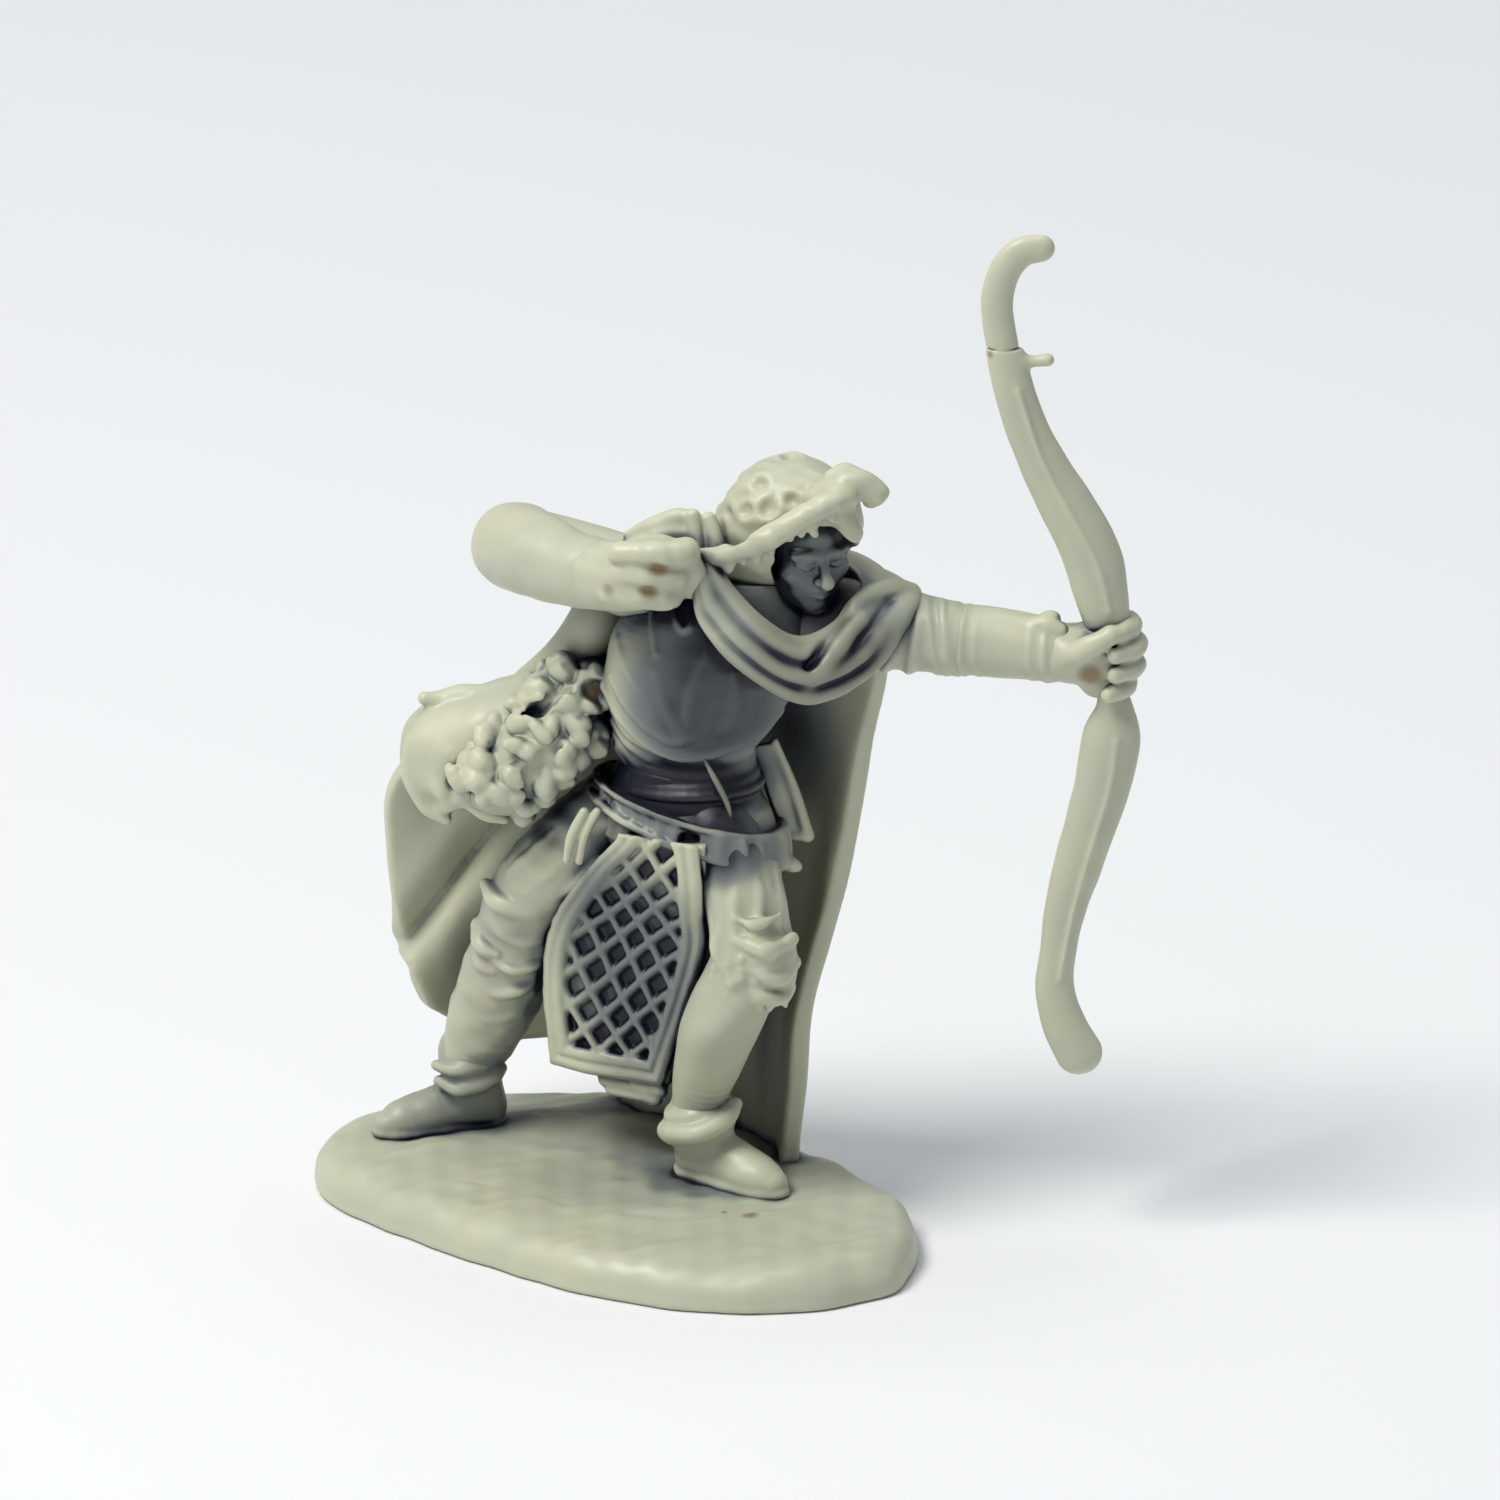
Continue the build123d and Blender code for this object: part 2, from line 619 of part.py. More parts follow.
with BuildPart() as cloak:
    loft(sections=CLOAK_SLICES)
    with BuildSketch(Plane.XZ.offset(-14)):
        with BuildLine():
            Polyline(*HEM_CUT, close=True)
        make_face()
    extrude(amount=12, mode=Mode.SUBTRACT)
    with Locations(HEM_PEG_AT):
        Cylinder(THIN_PEG_RADIUS, PEG_LENGTH, align=(Align.CENTER, Align.CENTER, Align.MAX))
    for neighbour in (torso, cowl, hood, bow_arm, draw_upper_arm, right_boot, right_leg):
        add(neighbour.part, mode=Mode.SUBTRACT)

# ---------------------------------------------------------------- bedroll and pelt at the right hip

BEDROLL_NEAR, BEDROLL_FAR = Vector(-6.6, 4.6, 18.8), Vector(-0.9, 4.3, 21.6)
BEDROLL_RADIUS = 2.2
TUFT_RADIUS = 0.7
TUFTS = [
    (-5.0, 2.0, 17.0),
    (-3.9, 1.6, 17.2),
    (-3.1, 1.2, 18.3),
    (-2.2, 1.0, 19.4),
    (-1.3, 1.2, 20.3),
    (-0.8, 1.4, 21.6),
    (-0.4, 1.8, 22.8),
    (-2.7, 0.85, 21.4),
    (-4.1, 0.75, 19.4),
    (-5.2, 1.5, 18.4),
    (-1.9, 1.4, 22.8),
    (-1.1, 2.1, 24.0),
]

with BuildPart() as bedroll:
    loft(
        sections=run_sections(
            UP,
            (BEDROLL_NEAR + Vector(-1.6, 0, -0.6), 1.0, 0.9),
            (BEDROLL_NEAR + Vector(-0.9, 0, -0.3), BEDROLL_RADIUS, BEDROLL_RADIUS - 0.2),
            (between(BEDROLL_NEAR, BEDROLL_FAR, 0.5), BEDROLL_RADIUS + 0.1, BEDROLL_RADIUS),
            (BEDROLL_FAR, 1.6, 1.6),
        )
    )
    for neighbour in (cloak, torso, hips, waist_sash, tunic_skirt, draw_upper_arm, breastplate):
        add(neighbour.part, mode=Mode.SUBTRACT)

with BuildPart() as fur_pelt:
    loft(
        sections=run_sections(
            UP,
            (Vector(-4.6, 3.0, 18.6), 2.1, 2.0),
            (Vector(-2.9, 2.8, 20.4), 3.0, 2.2),
            (Vector(-1.2, 2.9, 22.6), 1.9, 1.7),
            (Vector(-0.5, 3.0, 23.8), 1.0, 1.0),
        )
    )
    for tuft in TUFTS:
        with Locations(tuft):
            Sphere(TUFT_RADIUS)
    for neighbour in (bedroll, cloak, torso, hips, waist_sash, tunic_skirt, draw_upper_arm, breastplate):
        add(neighbour.part, mode=Mode.SUBTRACT)

# ---------------------------------------------------------------- one file per piece

os.makedirs("parts", exist_ok=True)

base.part.label = "base"
export_step(base.part, "parts/base.step")

left_boot.part.label = "left_boot"
export_step(left_boot.part, "parts/left_boot.step")

right_boot.part.label = "right_boot"
export_step(right_boot.part, "parts/right_boot.step")

hips.part.label = "hips"
export_step(hips.part, "parts/hips.step")

left_leg.part.label = "left_leg"
export_step(left_leg.part, "parts/left_leg.step")

right_leg.part.label = "right_leg"
export_step(right_leg.part, "parts/right_leg.step")

torso.part.label = "torso"
export_step(torso.part, "parts/torso.step")

breastplate.part.label = "breastplate"
export_step(breastplate.part, "parts/breastplate.step")

waist_sash.part.label = "waist_sash"
export_step(waist_sash.part, "parts/waist_sash.step")

tunic_skirt.part.label = "tunic_skirt"
export_step(tunic_skirt.part, "parts/tunic_skirt.step")

scale_tabard.part.label = "scale_tabard"
export_step(scale_tabard.part, "parts/scale_tabard.step")

side_flap.part.label = "side_flap"
export_step(side_flap.part, "parts/side_flap.step")

head.part.label = "head"
export_step(head.part, "parts/head.step")

hood.part.label = "hood"
export_step(hood.part, "parts/hood.step")

cowl.part.label = "cowl"
export_step(cowl.part, "parts/cowl.step")

cloak.part.label = "cloak"
export_step(cloak.part, "parts/cloak.step")

bow_arm.part.label = "bow_arm"
export_step(bow_arm.part, "parts/bow_arm.step")

bow_bracer.part.label = "bow_bracer"
export_step(bow_bracer.part, "parts/bow_bracer.step")

bow_hand.part.label = "bow_hand"
export_step(bow_hand.part, "parts/bow_hand.step")

bow_upper_limb.part.label = "bow_upper_limb"
export_step(bow_upper_limb.part, "parts/bow_upper_limb.step")

bow_upper_tip.part.label = "bow_upper_tip"
export_step(bow_upper_tip.part, "parts/bow_upper_tip.step")

bow_lower_limb.part.label = "bow_lower_limb"
export_step(bow_lower_limb.part, "parts/bow_lower_limb.step")

draw_upper_arm.part.label = "draw_upper_arm"
export_step(draw_upper_arm.part, "parts/draw_upper_arm.step")

draw_forearm.part.label = "draw_forearm"
export_step(draw_forearm.part, "parts/draw_forearm.step")

draw_hand.part.label = "draw_hand"
export_step(draw_hand.part, "parts/draw_hand.step")

bedroll.part.label = "bedroll"
export_step(bedroll.part, "parts/bedroll.step")

fur_pelt.part.label = "fur_pelt"
export_step(fur_pelt.part, "parts/fur_pelt.step")
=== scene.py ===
"""The looks of the hooded archer miniature.

Every piece is sculpted as clay, a grid of signed distances in millimetres, and turned into one closed mesh.
Details were sculpted round the middles of the CAD boxes, so each piece follows its CAD node.
"""

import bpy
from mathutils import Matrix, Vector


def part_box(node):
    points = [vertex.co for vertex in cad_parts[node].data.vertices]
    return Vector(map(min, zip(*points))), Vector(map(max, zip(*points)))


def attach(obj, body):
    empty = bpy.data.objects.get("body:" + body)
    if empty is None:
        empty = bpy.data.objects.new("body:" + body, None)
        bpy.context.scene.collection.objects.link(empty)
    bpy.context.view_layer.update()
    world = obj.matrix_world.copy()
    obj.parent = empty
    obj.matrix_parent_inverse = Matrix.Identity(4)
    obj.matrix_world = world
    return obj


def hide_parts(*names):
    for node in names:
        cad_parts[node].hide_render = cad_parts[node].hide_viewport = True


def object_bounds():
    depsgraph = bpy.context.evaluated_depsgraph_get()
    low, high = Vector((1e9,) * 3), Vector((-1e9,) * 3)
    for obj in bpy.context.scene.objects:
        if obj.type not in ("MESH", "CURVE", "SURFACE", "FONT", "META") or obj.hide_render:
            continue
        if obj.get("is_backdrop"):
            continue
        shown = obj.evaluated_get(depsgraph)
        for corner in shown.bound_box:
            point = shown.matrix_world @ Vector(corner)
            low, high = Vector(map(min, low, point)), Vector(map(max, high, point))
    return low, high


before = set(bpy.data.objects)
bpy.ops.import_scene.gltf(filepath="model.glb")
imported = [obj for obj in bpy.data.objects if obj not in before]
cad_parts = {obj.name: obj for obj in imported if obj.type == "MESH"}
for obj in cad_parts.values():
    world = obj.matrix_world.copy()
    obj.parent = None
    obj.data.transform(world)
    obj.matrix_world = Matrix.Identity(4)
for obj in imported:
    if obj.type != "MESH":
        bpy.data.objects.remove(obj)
CAD_LOW, CAD_HIGH = [list(corner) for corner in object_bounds()]

import math

import bpy
import numpy as np
import openvdb as vdb
from mathutils import Vector

MM = 0.001
COARSE = 1.0
REACH = 0.9  # distances are kept up to this far from a surface, mm
UP = np.array((0.0, 0.0, 1.0))


def v(x, y, z):
    return np.array((x, y, z), float)


def unit(a):
    a = np.asarray(a, float)
    return a / np.linalg.norm(a)


def between(a, b, share):
    return a + (b - a) * share


def smooth(x, low, high):
    """Rises smoothly from 0 at low to 1 at high."""
    t = np.clip((x - low) / (high - low), 0, 1)
    return t * t * (3 - 2 * t)


# ---------------------------------------------------------------- clay


def soft_min(a, b, soft):
    if soft <= 0:
        return np.minimum(a, b)
    h = np.clip(0.5 + 0.5 * (b - a) / soft, 0, 1)
    return b + (a - b) * h - soft * h * (1 - h)


def soft_max(a, b, soft):
    return -soft_min(-a, -b, soft)


class Clay:
    """Signed distances in mm round one CAD node.

    centre is where the node's middle was when it was sculpted. A shape is its low corner, its high corner
    and its distance as a function of x, y and z.
    """

    made = []

    def __init__(self, node, centre, step, margin=1.2):
        low, high = (np.array(corner) * 1000 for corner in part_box(node))
        self.node = node
        self.shift = (low + high) / 2 - np.array(centre)
        self.step = step * COARSE
        self.low = low - self.shift - margin
        self.size = np.ceil((high - low + 2 * margin) / self.step).astype(int) + 1
        self.d = np.full(self.size, REACH, np.float32)
        self.stains_and_shade = []
        Clay.made.append(self)

    def window(self, low, high):
        """The part of the grid between two corners, as slices and as three open axes of places."""
        a = np.clip(np.floor((low - self.low) / self.step).astype(int), 0, self.size)
        b = np.clip(np.ceil((high - self.low) / self.step).astype(int) + 1, 0, self.size)
        if np.any(b <= a):
            return None
        line = [(self.low[i] + self.step * np.arange(a[i], b[i])).astype(np.float32) for i in range(3)]
        axes = line[0][:, None, None], line[1][None, :, None], line[2][None, None, :]
        return tuple(slice(a[i], b[i]) for i in range(3)), axes

    def join(self, shape, soft=0.15):
        """Adds a shape, with a seam rounded by soft."""
        low, high, distance = shape
        found = self.window(low - REACH - soft, high + REACH + soft)
        if found:
            where, axes = found
            self.d[where] = np.minimum(soft_min(self.d[where], distance(*axes), soft), REACH)

    def line(self, path, wide, soft=0.15, **more):
        """Adds a rod along a path."""
        self.join(rod(path, wide, **more), soft)

    def cut(self, shape, soft=0.12):
        """Takes a shape away, with an edge rounded by soft."""
        low, high, distance = shape
        found = self.window(low - REACH - soft, high + REACH + soft)
        if found:
            where, axes = found
            self.d[where] = soft_max(self.d[where], -distance(*axes), soft)

    def keep(self, distance, soft=0.1):
        """Keeps only what is where distance(x, y, z) is below zero."""
        where, axes = self.window(self.low, self.low + self.step * self.size)
        self.d[where] = np.minimum(soft_max(self.d, distance(*axes), soft), REACH)

    def swell(self, low, high, amount):
        """Moves the surface outwards by amount(x, y, z), in mm."""
        where, axes = self.window(low, high)
        self.d[where] -= amount(*axes).astype(np.float32)

    def ruffle(self, depth, size, seed):
        """Lumps all over, depth high and size across."""
        where, axes = self.window(self.low, self.low + self.step * self.size)
        self.d -= (depth * lumps(*axes, size, seed)).astype(np.float32)

    def sheet(self, points, thick, soft=0.1):
        """Joins a sheet thick mm through. points is a grid [u, v, xyz] on its middle."""
        normal = np.cross(np.gradient(points, axis=0), np.gradient(points, axis=1))
        normal /= np.maximum(np.linalg.norm(normal, axis=2, keepdims=True), 1e-9)
        n, m = points.shape[:2]
        half = thick / 2
        both = np.concatenate([points + normal * half, points - normal * half]).reshape(-1, 3)
        index = np.arange(n * m).reshape(n, m)
        a, b, c, d = index[:-1, :-1], index[1:, :-1], index[1:, 1:], index[:-1, 1:]
        front = np.stack([a, b, c, d], -1).reshape(-1, 4)
        rim = np.concatenate([index[0, :], index[1:, -1], index[-1, -2::-1], index[-2:0:-1, 0]])
        after = np.roll(rim, -1)
        sides = np.stack([rim, after, after + n * m, rim + n * m], -1)
        quads = np.concatenate([front, front[:, ::-1] + n * m, sides])
        self.solid(both, quads, soft)

    def solid(self, points, quads, soft=0.1):
        """Joins a closed mesh."""
        grid = vdb.FloatGrid.createLevelSetFromPolygons(
            np.ascontiguousarray((points - self.low) / self.step, np.float32),
            quads=np.ascontiguousarray(quads, np.uint32),
            halfWidth=REACH / self.step,
        )
        field = np.full(self.size, REACH / self.step, np.float32)
        grid.copyToArray(field)
        self.d = np.minimum(soft_min(self.d, field * self.step, soft), REACH)

    def soften(self):
        """Rounds every edge a little, as a casting's are."""
        for axis in range(3):
            a = np.moveaxis(self.d, axis, 0)
            middle = a[1:-1].copy()
            a[1:-1] = 0.5 * middle + 0.25 * (a[:-2] + a[2:])

    def stain_and_shade(self, place, radius):
        """Marks a brown spot, used both for stains on the ground and for painted brown shade in hollows and
        slots.
        """
        self.stains_and_shade.append((np.array(place, float), radius))


def lumps(x, y, z, size, seed, waves=7):
    """Smooth random lumps, about -1 to 1."""
    rng = np.random.default_rng(seed)
    total = 0
    for _ in range(waves):
        k = unit(rng.normal(size=3)) * rng.uniform(0.6, 1.5) * 2 * math.pi / size
        total = total + np.sin(k[0] * x + k[1] * y + k[2] * z + rng.uniform(0, 2 * math.pi))
    return total / waves * 1.7


def smooth_line(points, extra=None, fine=5):
    """A Catmull-Rom curve through the points, and through the values that go with them."""
    rows = np.array(points, float)
    if extra is not None:
        rows = np.array([np.append(p, e) for p, e in zip(points, extra)])
    ends = np.concatenate([[2 * rows[0] - rows[1]], rows, [2 * rows[-1] - rows[-2]]])
    out = []
    for i in range(1, len(ends) - 2):
        a, b, c, d = ends[i - 1 : i + 3]
        square, cube = 2 * a - 5 * b + 4 * c - d, 3 * b - a - 3 * c + d
        for step in range(fine):
            t = step / fine
            out.append(0.5 * (2 * b + (c - a) * t + square * t**2 + cube * t**3))
    out.append(rows[-1])
    out = np.array(out)
    return (out[:, :3], out[:, 3:]) if extra is not None else out


def turn_to(side, along):
    """A 3 x 3 of rows: an axis near side, the one across it, and along."""
    along = unit(along)
    side = unit(np.asarray(side, float) - along * np.dot(side, along))
    return np.array([side, np.cross(along, side), along])


# ---------------------------------------------------------------- shapes


def egg(centre, radii, axes=None):
    """An ellipsoid; axes is a 3 x 3 of rows."""
    centre, radii = np.asarray(centre, float), np.asarray(radii, float)
    axes = np.eye(3) if axes is None else axes
    reach = np.abs(axes.T * radii).sum(1)

    def distance(x, y, z):
        x, y, z = x - centre[0], y - centre[1], z - centre[2]
        p = [(a[0] * x + a[1] * y + a[2] * z) / r for a, r in zip(axes, radii)]
        near = np.sqrt(p[0] ** 2 + p[1] ** 2 + p[2] ** 2) + 1e-6
        slope = np.sqrt((p[0] / radii[0]) ** 2 + (p[1] / radii[1]) ** 2 + (p[2] / radii[2]) ** 2) + 1e-6
        return near * (near - 1) / slope

    return centre - reach, centre + reach, distance


def ball(centre, radius):
    return egg(centre, (radius, radius, radius))


def slab(centre, half, axes=None, rounding=0.1):
    """A box with rounded edges."""
    centre, half = np.asarray(centre, float), np.asarray(half, float)
    axes = np.eye(3) if axes is None else axes
    reach = np.abs(axes.T * half).sum(1)

    def distance(x, y, z):
        x, y, z = x - centre[0], y - centre[1], z - centre[2]
        q = [np.abs(a[0] * x + a[1] * y + a[2] * z) - (h - rounding) for a, h in zip(axes, half)]
        outside = np.sqrt(sum(np.maximum(p, 0) ** 2 for p in q))
        return outside + np.minimum(np.maximum(np.maximum(q[0], q[1]), q[2]), 0) - rounding

    return centre - reach, centre + reach, distance


def rod(points, radii, flat=1.0, axis=None, fine=5):
    """A round-ended tube along a smooth line. flat is its width along axis, as a share of the other."""
    radii = np.broadcast_to(np.asarray(radii, float), len(points))
    if len(points) > 2:
        line, wide = smooth_line(points, radii, fine)
    else:
        line, wide = np.array(points, float), radii[:, None]
    wide = wide[:, 0]
    reach = wide.max()
    extra = 1 / flat**2 - 1

    def distance(x, y, z):
        best = None
        for a, b, ra, rb in zip(line[:-1], line[1:], wide[:-1], wide[1:]):
            run = b - a
            dx, dy, dz = x - a[0], y - a[1], z - a[2]
            t = np.clip((dx * run[0] + dy * run[1] + dz * run[2]) / max(run @ run, 1e-9), 0, 1)
            dx, dy, dz = dx - t * run[0], dy - t * run[1], dz - t * run[2]
            square = dx * dx + dy * dy + dz * dz
            if axis is not None:
                square = square + extra * (dx * axis[0] + dy * axis[1] + dz * axis[2]) ** 2
            d = np.sqrt(square) - (ra + t * (rb - ra))
            best = d if best is None else np.minimum(best, d)
        return best

    return line.min(0) - reach, line.max(0) + reach, distance


def ring(centre, radius, thick, axes):
    """A torus round the last row of axes."""
    turns = np.linspace(0, 2 * math.pi, 25)
    path = [centre + (axes[0] * math.cos(t) + axes[1] * math.sin(t)) * radius for t in turns]
    return rod(path, thick, fine=1)


def barrel(stations, turn=0.0, folds=None, soft=0.1):
    """A body of level oval slices (z, x, y, half width, half depth). folds(angle, z) swells it."""
    table = np.array(sorted(stations), float)
    line, extra = smooth_line(table[:, 1:4], table[:, [0, 4]], 6)
    heights = extra[:, 0]
    c, s = math.cos(turn), math.sin(turn)
    wide = max(table[:, 3].max(), table[:, 4].max()) + 0.5
    low = np.array([table[:, 1].min() - wide, table[:, 2].min() - wide, table[0, 0]])
    high = np.array([table[:, 1].max() + wide, table[:, 2].max() + wide, table[-1, 0]])

    def distance(x, y, z):
        def at(values):
            return np.interp(z, heights, values).astype(np.float32)

        dx, dy = x - at(line[:, 0]), y - at(line[:, 1])
        across, along = dx * c + dy * s, dy * c - dx * s
        k = np.sqrt((across / at(line[:, 2])) ** 2 + (along / at(extra[:, 1])) ** 2) + 1e-4
        d = np.sqrt(across**2 + along**2) * (1 - 1 / k)
        if folds is not None:
            d = d - folds(np.arctan2(along, across), z)
        return soft_max(d, np.maximum(z - heights[-1], heights[0] - z), soft)

    return low, high, distance


def outside(shape, gap):
    """The same shape, grown by gap."""
    low, high, distance = shape
    return low - gap, high + gap, lambda x, y, z: distance(x, y, z) - gap


def drape(shape, places, lift=0.0):
    """The points on the front of a shape that are at these (x, z), lift above it."""
    out = []
    for x, z in places:
        y = np.linspace(-8, 8, 801)
        d = shape[2](np.full_like(y, x), y, np.full_like(y, z))
        hit = np.nonzero(d < lift)[0]
        out.append(v(x, y[hit[0]] if len(hit) else y[np.argmin(d)], z))
    return out


# ---------------------------------------------------------------- the pose

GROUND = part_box("base")[1].z * 1000
HIP_TURN = math.radians(-30)
HIP_SIDE = v(math.cos(HIP_TURN), math.sin(HIP_TURN), 0)
HIP_FRONT = v(math.sin(HIP_TURN), -math.cos(HIP_TURN), 0)

# ---------------------------------------------------------------- base

base = Clay("base", (0.12, 0.16, 0.90), 0.14, margin=0.7)
EDGE = [  # the outline, all the way round
    (12.35, -2.5), (9.6, 2.6), (5.2, 7.8), (-0.5, 11.2), (-7.0, 10.6), (-11.5, 7.6),
    (-12.5, 3.3), (-10.1, -0.9), (-5.0, -5.9), (0.1, -9.6), (6.2, -11.1), (11.5, -8.7),
]
MOUNDS = [  # middle, width and height of the low rises of the ground
    (-7.4, 2.4, 2.4, 0.28),
    (-3.0, 6.5, 3.0, 0.2),
    (3.0, -6.5, 3.2, 0.16),
    (7.5, -1.0, 2.5, 0.12),
]
RIM_ROUND = 0.75


def base_field(x, y, z):
    """Distance from the base: its wavy outline, its uneven top and the worn edge between them."""
    loop = smooth_line([v(*EDGE[i % 12], 0) for i in range(-2, 15)], fine=8)[16:-16, :2]
    px, py = x[:, 0, 0][:, None], y[0, :, 0][None, :]
    near = np.full((px.shape[0], py.shape[1]), 1e9)
    inside = np.zeros(near.shape, bool)
    for a, b in zip(loop, np.roll(loop, -1, axis=0)):
        run = b - a
        dx, dy = px - a[0], py - a[1]
        t = np.clip((dx * run[0] + dy * run[1]) / max(run @ run, 1e-9), 0, 1)
        near = np.minimum(near, (dx - t * run[0]) ** 2 + (dy - t * run[1]) ** 2)
        crosses = (a[1] > py) != (b[1] > py)
        inside ^= crosses & (px < a[0] + (py - a[1]) / (run[1] if run[1] else 1e-9) * run[0])
    flat = np.sqrt(near) * np.where(inside, -1, 1)
    flat = flat[:, :, None] + 0.10 * lumps(x, y, 0 * z, 3.6, 11) + 0.22 * np.clip(z / GROUND, 0, 1) - 0.05
    top = GROUND - 0.02 + 0.12 * lumps(x, y, 0 * z, 4.5, 3) + 0.05 * lumps(x, y, 0 * z, 1.5, 5)
    top = top + 0.03 * lumps(0.35 * (x + 0.4 * y), 1.3 * (y - 0.4 * x), 0 * z, 1.7, 7)
    for cx, cy, wide, tall in MOUNDS:
        top = top + tall * np.exp(-((x - cx) ** 2 + (y - cy) ** 2) / wide**2)
    top = top - 0.35 * np.clip(1 - (-flat) / 1.6, 0, 1) ** 2
    up = z - top
    a, b = flat + RIM_ROUND, up + RIM_ROUND
    d = np.sqrt(np.maximum(a, 0) ** 2 + np.maximum(b, 0) ** 2) - RIM_ROUND + np.minimum(np.maximum(a, b), 0)
    return soft_max(d, -z, 0.12)


base.join((base.low, base.low + base.step * base.size, base_field), 0)
for path in (  # brush marks in the ground
    [(-3.6, 9.0, 1.95), (-2.4, 9.3, 1.98), (-1.0, 9.0, 1.95), (0.4, 9.2, 1.95)],
    [(-3.0, 7.2, 1.98), (-1.6, 7.5, 1.98), (-0.6, 7.1, 1.98)],
    [(-2.0, 1.6, 1.95), (0.0, 1.0, 1.95), (1.6, 1.4, 1.95)],
    [(-6.4, -0.4, 1.95), (-3.8, -1.4, 1.98), (-1.8, -3.2, 1.98)],
    [(0.4, -4.2, 1.95), (2.6, -4.8, 1.98), (4.8, -4.4, 1.98)],
):
    base.cut(rod(path, 0.13), 0.2)
# Brown stains on the ground.
base.stain_and_shade((-3.9, -4.1, 1.6), 0.32)
base.stain_and_shade((5.6, -4.6, 1.9), 0.5)

# ---------------------------------------------------------------- boots


def foot(clay, heel, toe, ankle):
    """A soft boot's foot, with its sole and the way up to the ankle."""
    along = unit(toe - heel)
    length = np.linalg.norm(toe - heel)
    clay.line(
        [
            heel + v(0, 0, 0.75),
            heel + along * length * 0.35 + v(0, 0, 0.66),
            heel + along * length * 0.72 + v(0, 0, 0.48),
            toe - along * 0.4 + v(0, 0, 0.38),
        ],
        [0.92, 0.98, 1.02, 0.7],
        0.2,
    )
    clay.line(
        [
            heel + along * 0.6 + v(0, 0, 1.5),
            heel + along * 1.7 + v(0, 0, 1.15),
            toe - along * 1.3 + v(0, 0, 0.7),
        ],
        [0.9, 0.8, 0.55],
        0.5,
    )
    clay.line([heel + along * 0.35 + v(0, 0, 0.9), ankle], [1.0, 1.15], 0.5)
    sole = rod(
        [
            heel + v(0, 0, 0.12),
            heel + along * length * 0.7 + v(0, 0, 0.12),
            toe - along * 0.25 + v(0, 0, 0.12),
        ],
        [1.0, 1.1, 0.68],
        0.5,
        UP,
    )
    clay.join(sole, 0.08)


left_boot = Clay("left_boot", (4.44, -0.29, 3.15), 0.06, margin=1.3)
foot(left_boot, v(3.4, 0.9, GROUND), v(6.75, -1.9, GROUND), v(3.55, 0.5, 4.4))
CUFF = turn_to(v(0.86, -0.5, 0), v(-0.22, 0.1, 1))
left_boot.line([(3.5, 0.5, 3.9), (3.55, 0.4, 5.2)], [1.35, 1.2], 0.25)
left_boot.join(ring(v(3.35, 0.45, 4.05), 1.18, 0.46, CUFF), 0.25)
left_boot.join(ring(v(3.45, 0.4, 4.75), 1.12, 0.36, CUFF), 0.2)
left_boot.line(
    [(2.3, -0.5, 4.1), (3.3, -1.2, 4.25), (4.5, -0.9, 4.75), (5.0, -0.2, 5.2)], [0.3, 0.4, 0.42, 0.3], 0.3
)
left_boot.line([(4.0, 0.6, 3.0), (5.0, -0.4, 3.05), (6.0, -1.3, 2.65)], [0.35, 0.3, 0.25], 0.5)
left_boot.cut(rod([(5.0, -2.4, 2.55), (5.9, -2.6, 2.35), (6.8, -2.6, 2.15)], 0.1), 0.2)
left_boot.ruffle(0.03, 1.3, 81)

right_boot = Clay("right_boot", (-7.09, 6.10, 3.05), 0.06, margin=1.3)
foot(right_boot, v(-5.5, 6.6, GROUND), v(-9.75, 5.25, GROUND), v(-6.1, 6.2, 4.6))
right_boot.line([(-5.9, 6.4, 3.2), (-6.1, 6.2, 5.1)], [1.15, 1.3], 0.3)
right_boot.line(
    [(-7.4, 5.4, 4.1), (-6.5, 4.9, 3.9), (-5.3, 5.2, 4.2), (-4.7, 5.9, 4.5)], [0.2, 0.3, 0.3, 0.2], 0.35
)
right_boot.line([(-7.5, 5.5, 4.8), (-6.6, 4.9, 4.75), (-5.4, 5.1, 5.0)], [0.2, 0.28, 0.2], 0.35)
right_boot.ruffle(0.035, 1.5, 82)

# ---------------------------------------------------------------- legs and hips

HIPS = barrel(
    [
        (15.2, 2.5, 1.9, 2.4, 1.7), (16.4, 2.5, 1.9, 3.3, 2.4), (18.0, 2.6, 1.9, 3.4, 2.4),
        (19.6, 3.0, 1.9, 2.9, 2.1),
    ],
    HIP_TURN,
)
hips = Clay("hips", (2.57, 1.90, 17.30), 0.12)
hips.join(HIPS, 0)

left_leg = Clay("left_leg", (4.62, -0.74, 11.45), 0.065, margin=1.3)
KNEE_L, HIP_L = v(5.75, -1.9, 12.4), v(4.2, 0.5, 17.0)
left_leg.line(
    [(3.5, 0.4, 4.6), (3.55, 0.2, 5.6), (3.9, -0.5, 7.4), (4.4, -1.2, 9.2), (5.1, -1.7, 10.9), KNEE_L],
    [1.15, 1.2, 1.45, 1.62, 1.6, 1.6],
    0,
)
left_leg.line(
    [(3.6, -0.9, 7.2), (3.9, -1.6, 8.6), (4.5, -2.2, 9.7), (5.3, -2.5, 10.8)], [0.7, 0.95, 1.0, 0.9], 0.4
)
left_leg.line([KNEE_L, (5.4, -1.1, 14.2), (4.9, -0.2, 15.8), HIP_L], [1.6, 1.7, 1.9, 1.9], 0.3)
left_leg.join(egg((6.35, -2.35, 12.5), (1.15, 1.1, 1.25)), 0.35)
left_leg.join(egg((6.7, -2.2, 11.6), (0.8, 0.8, 0.8)), 0.3)
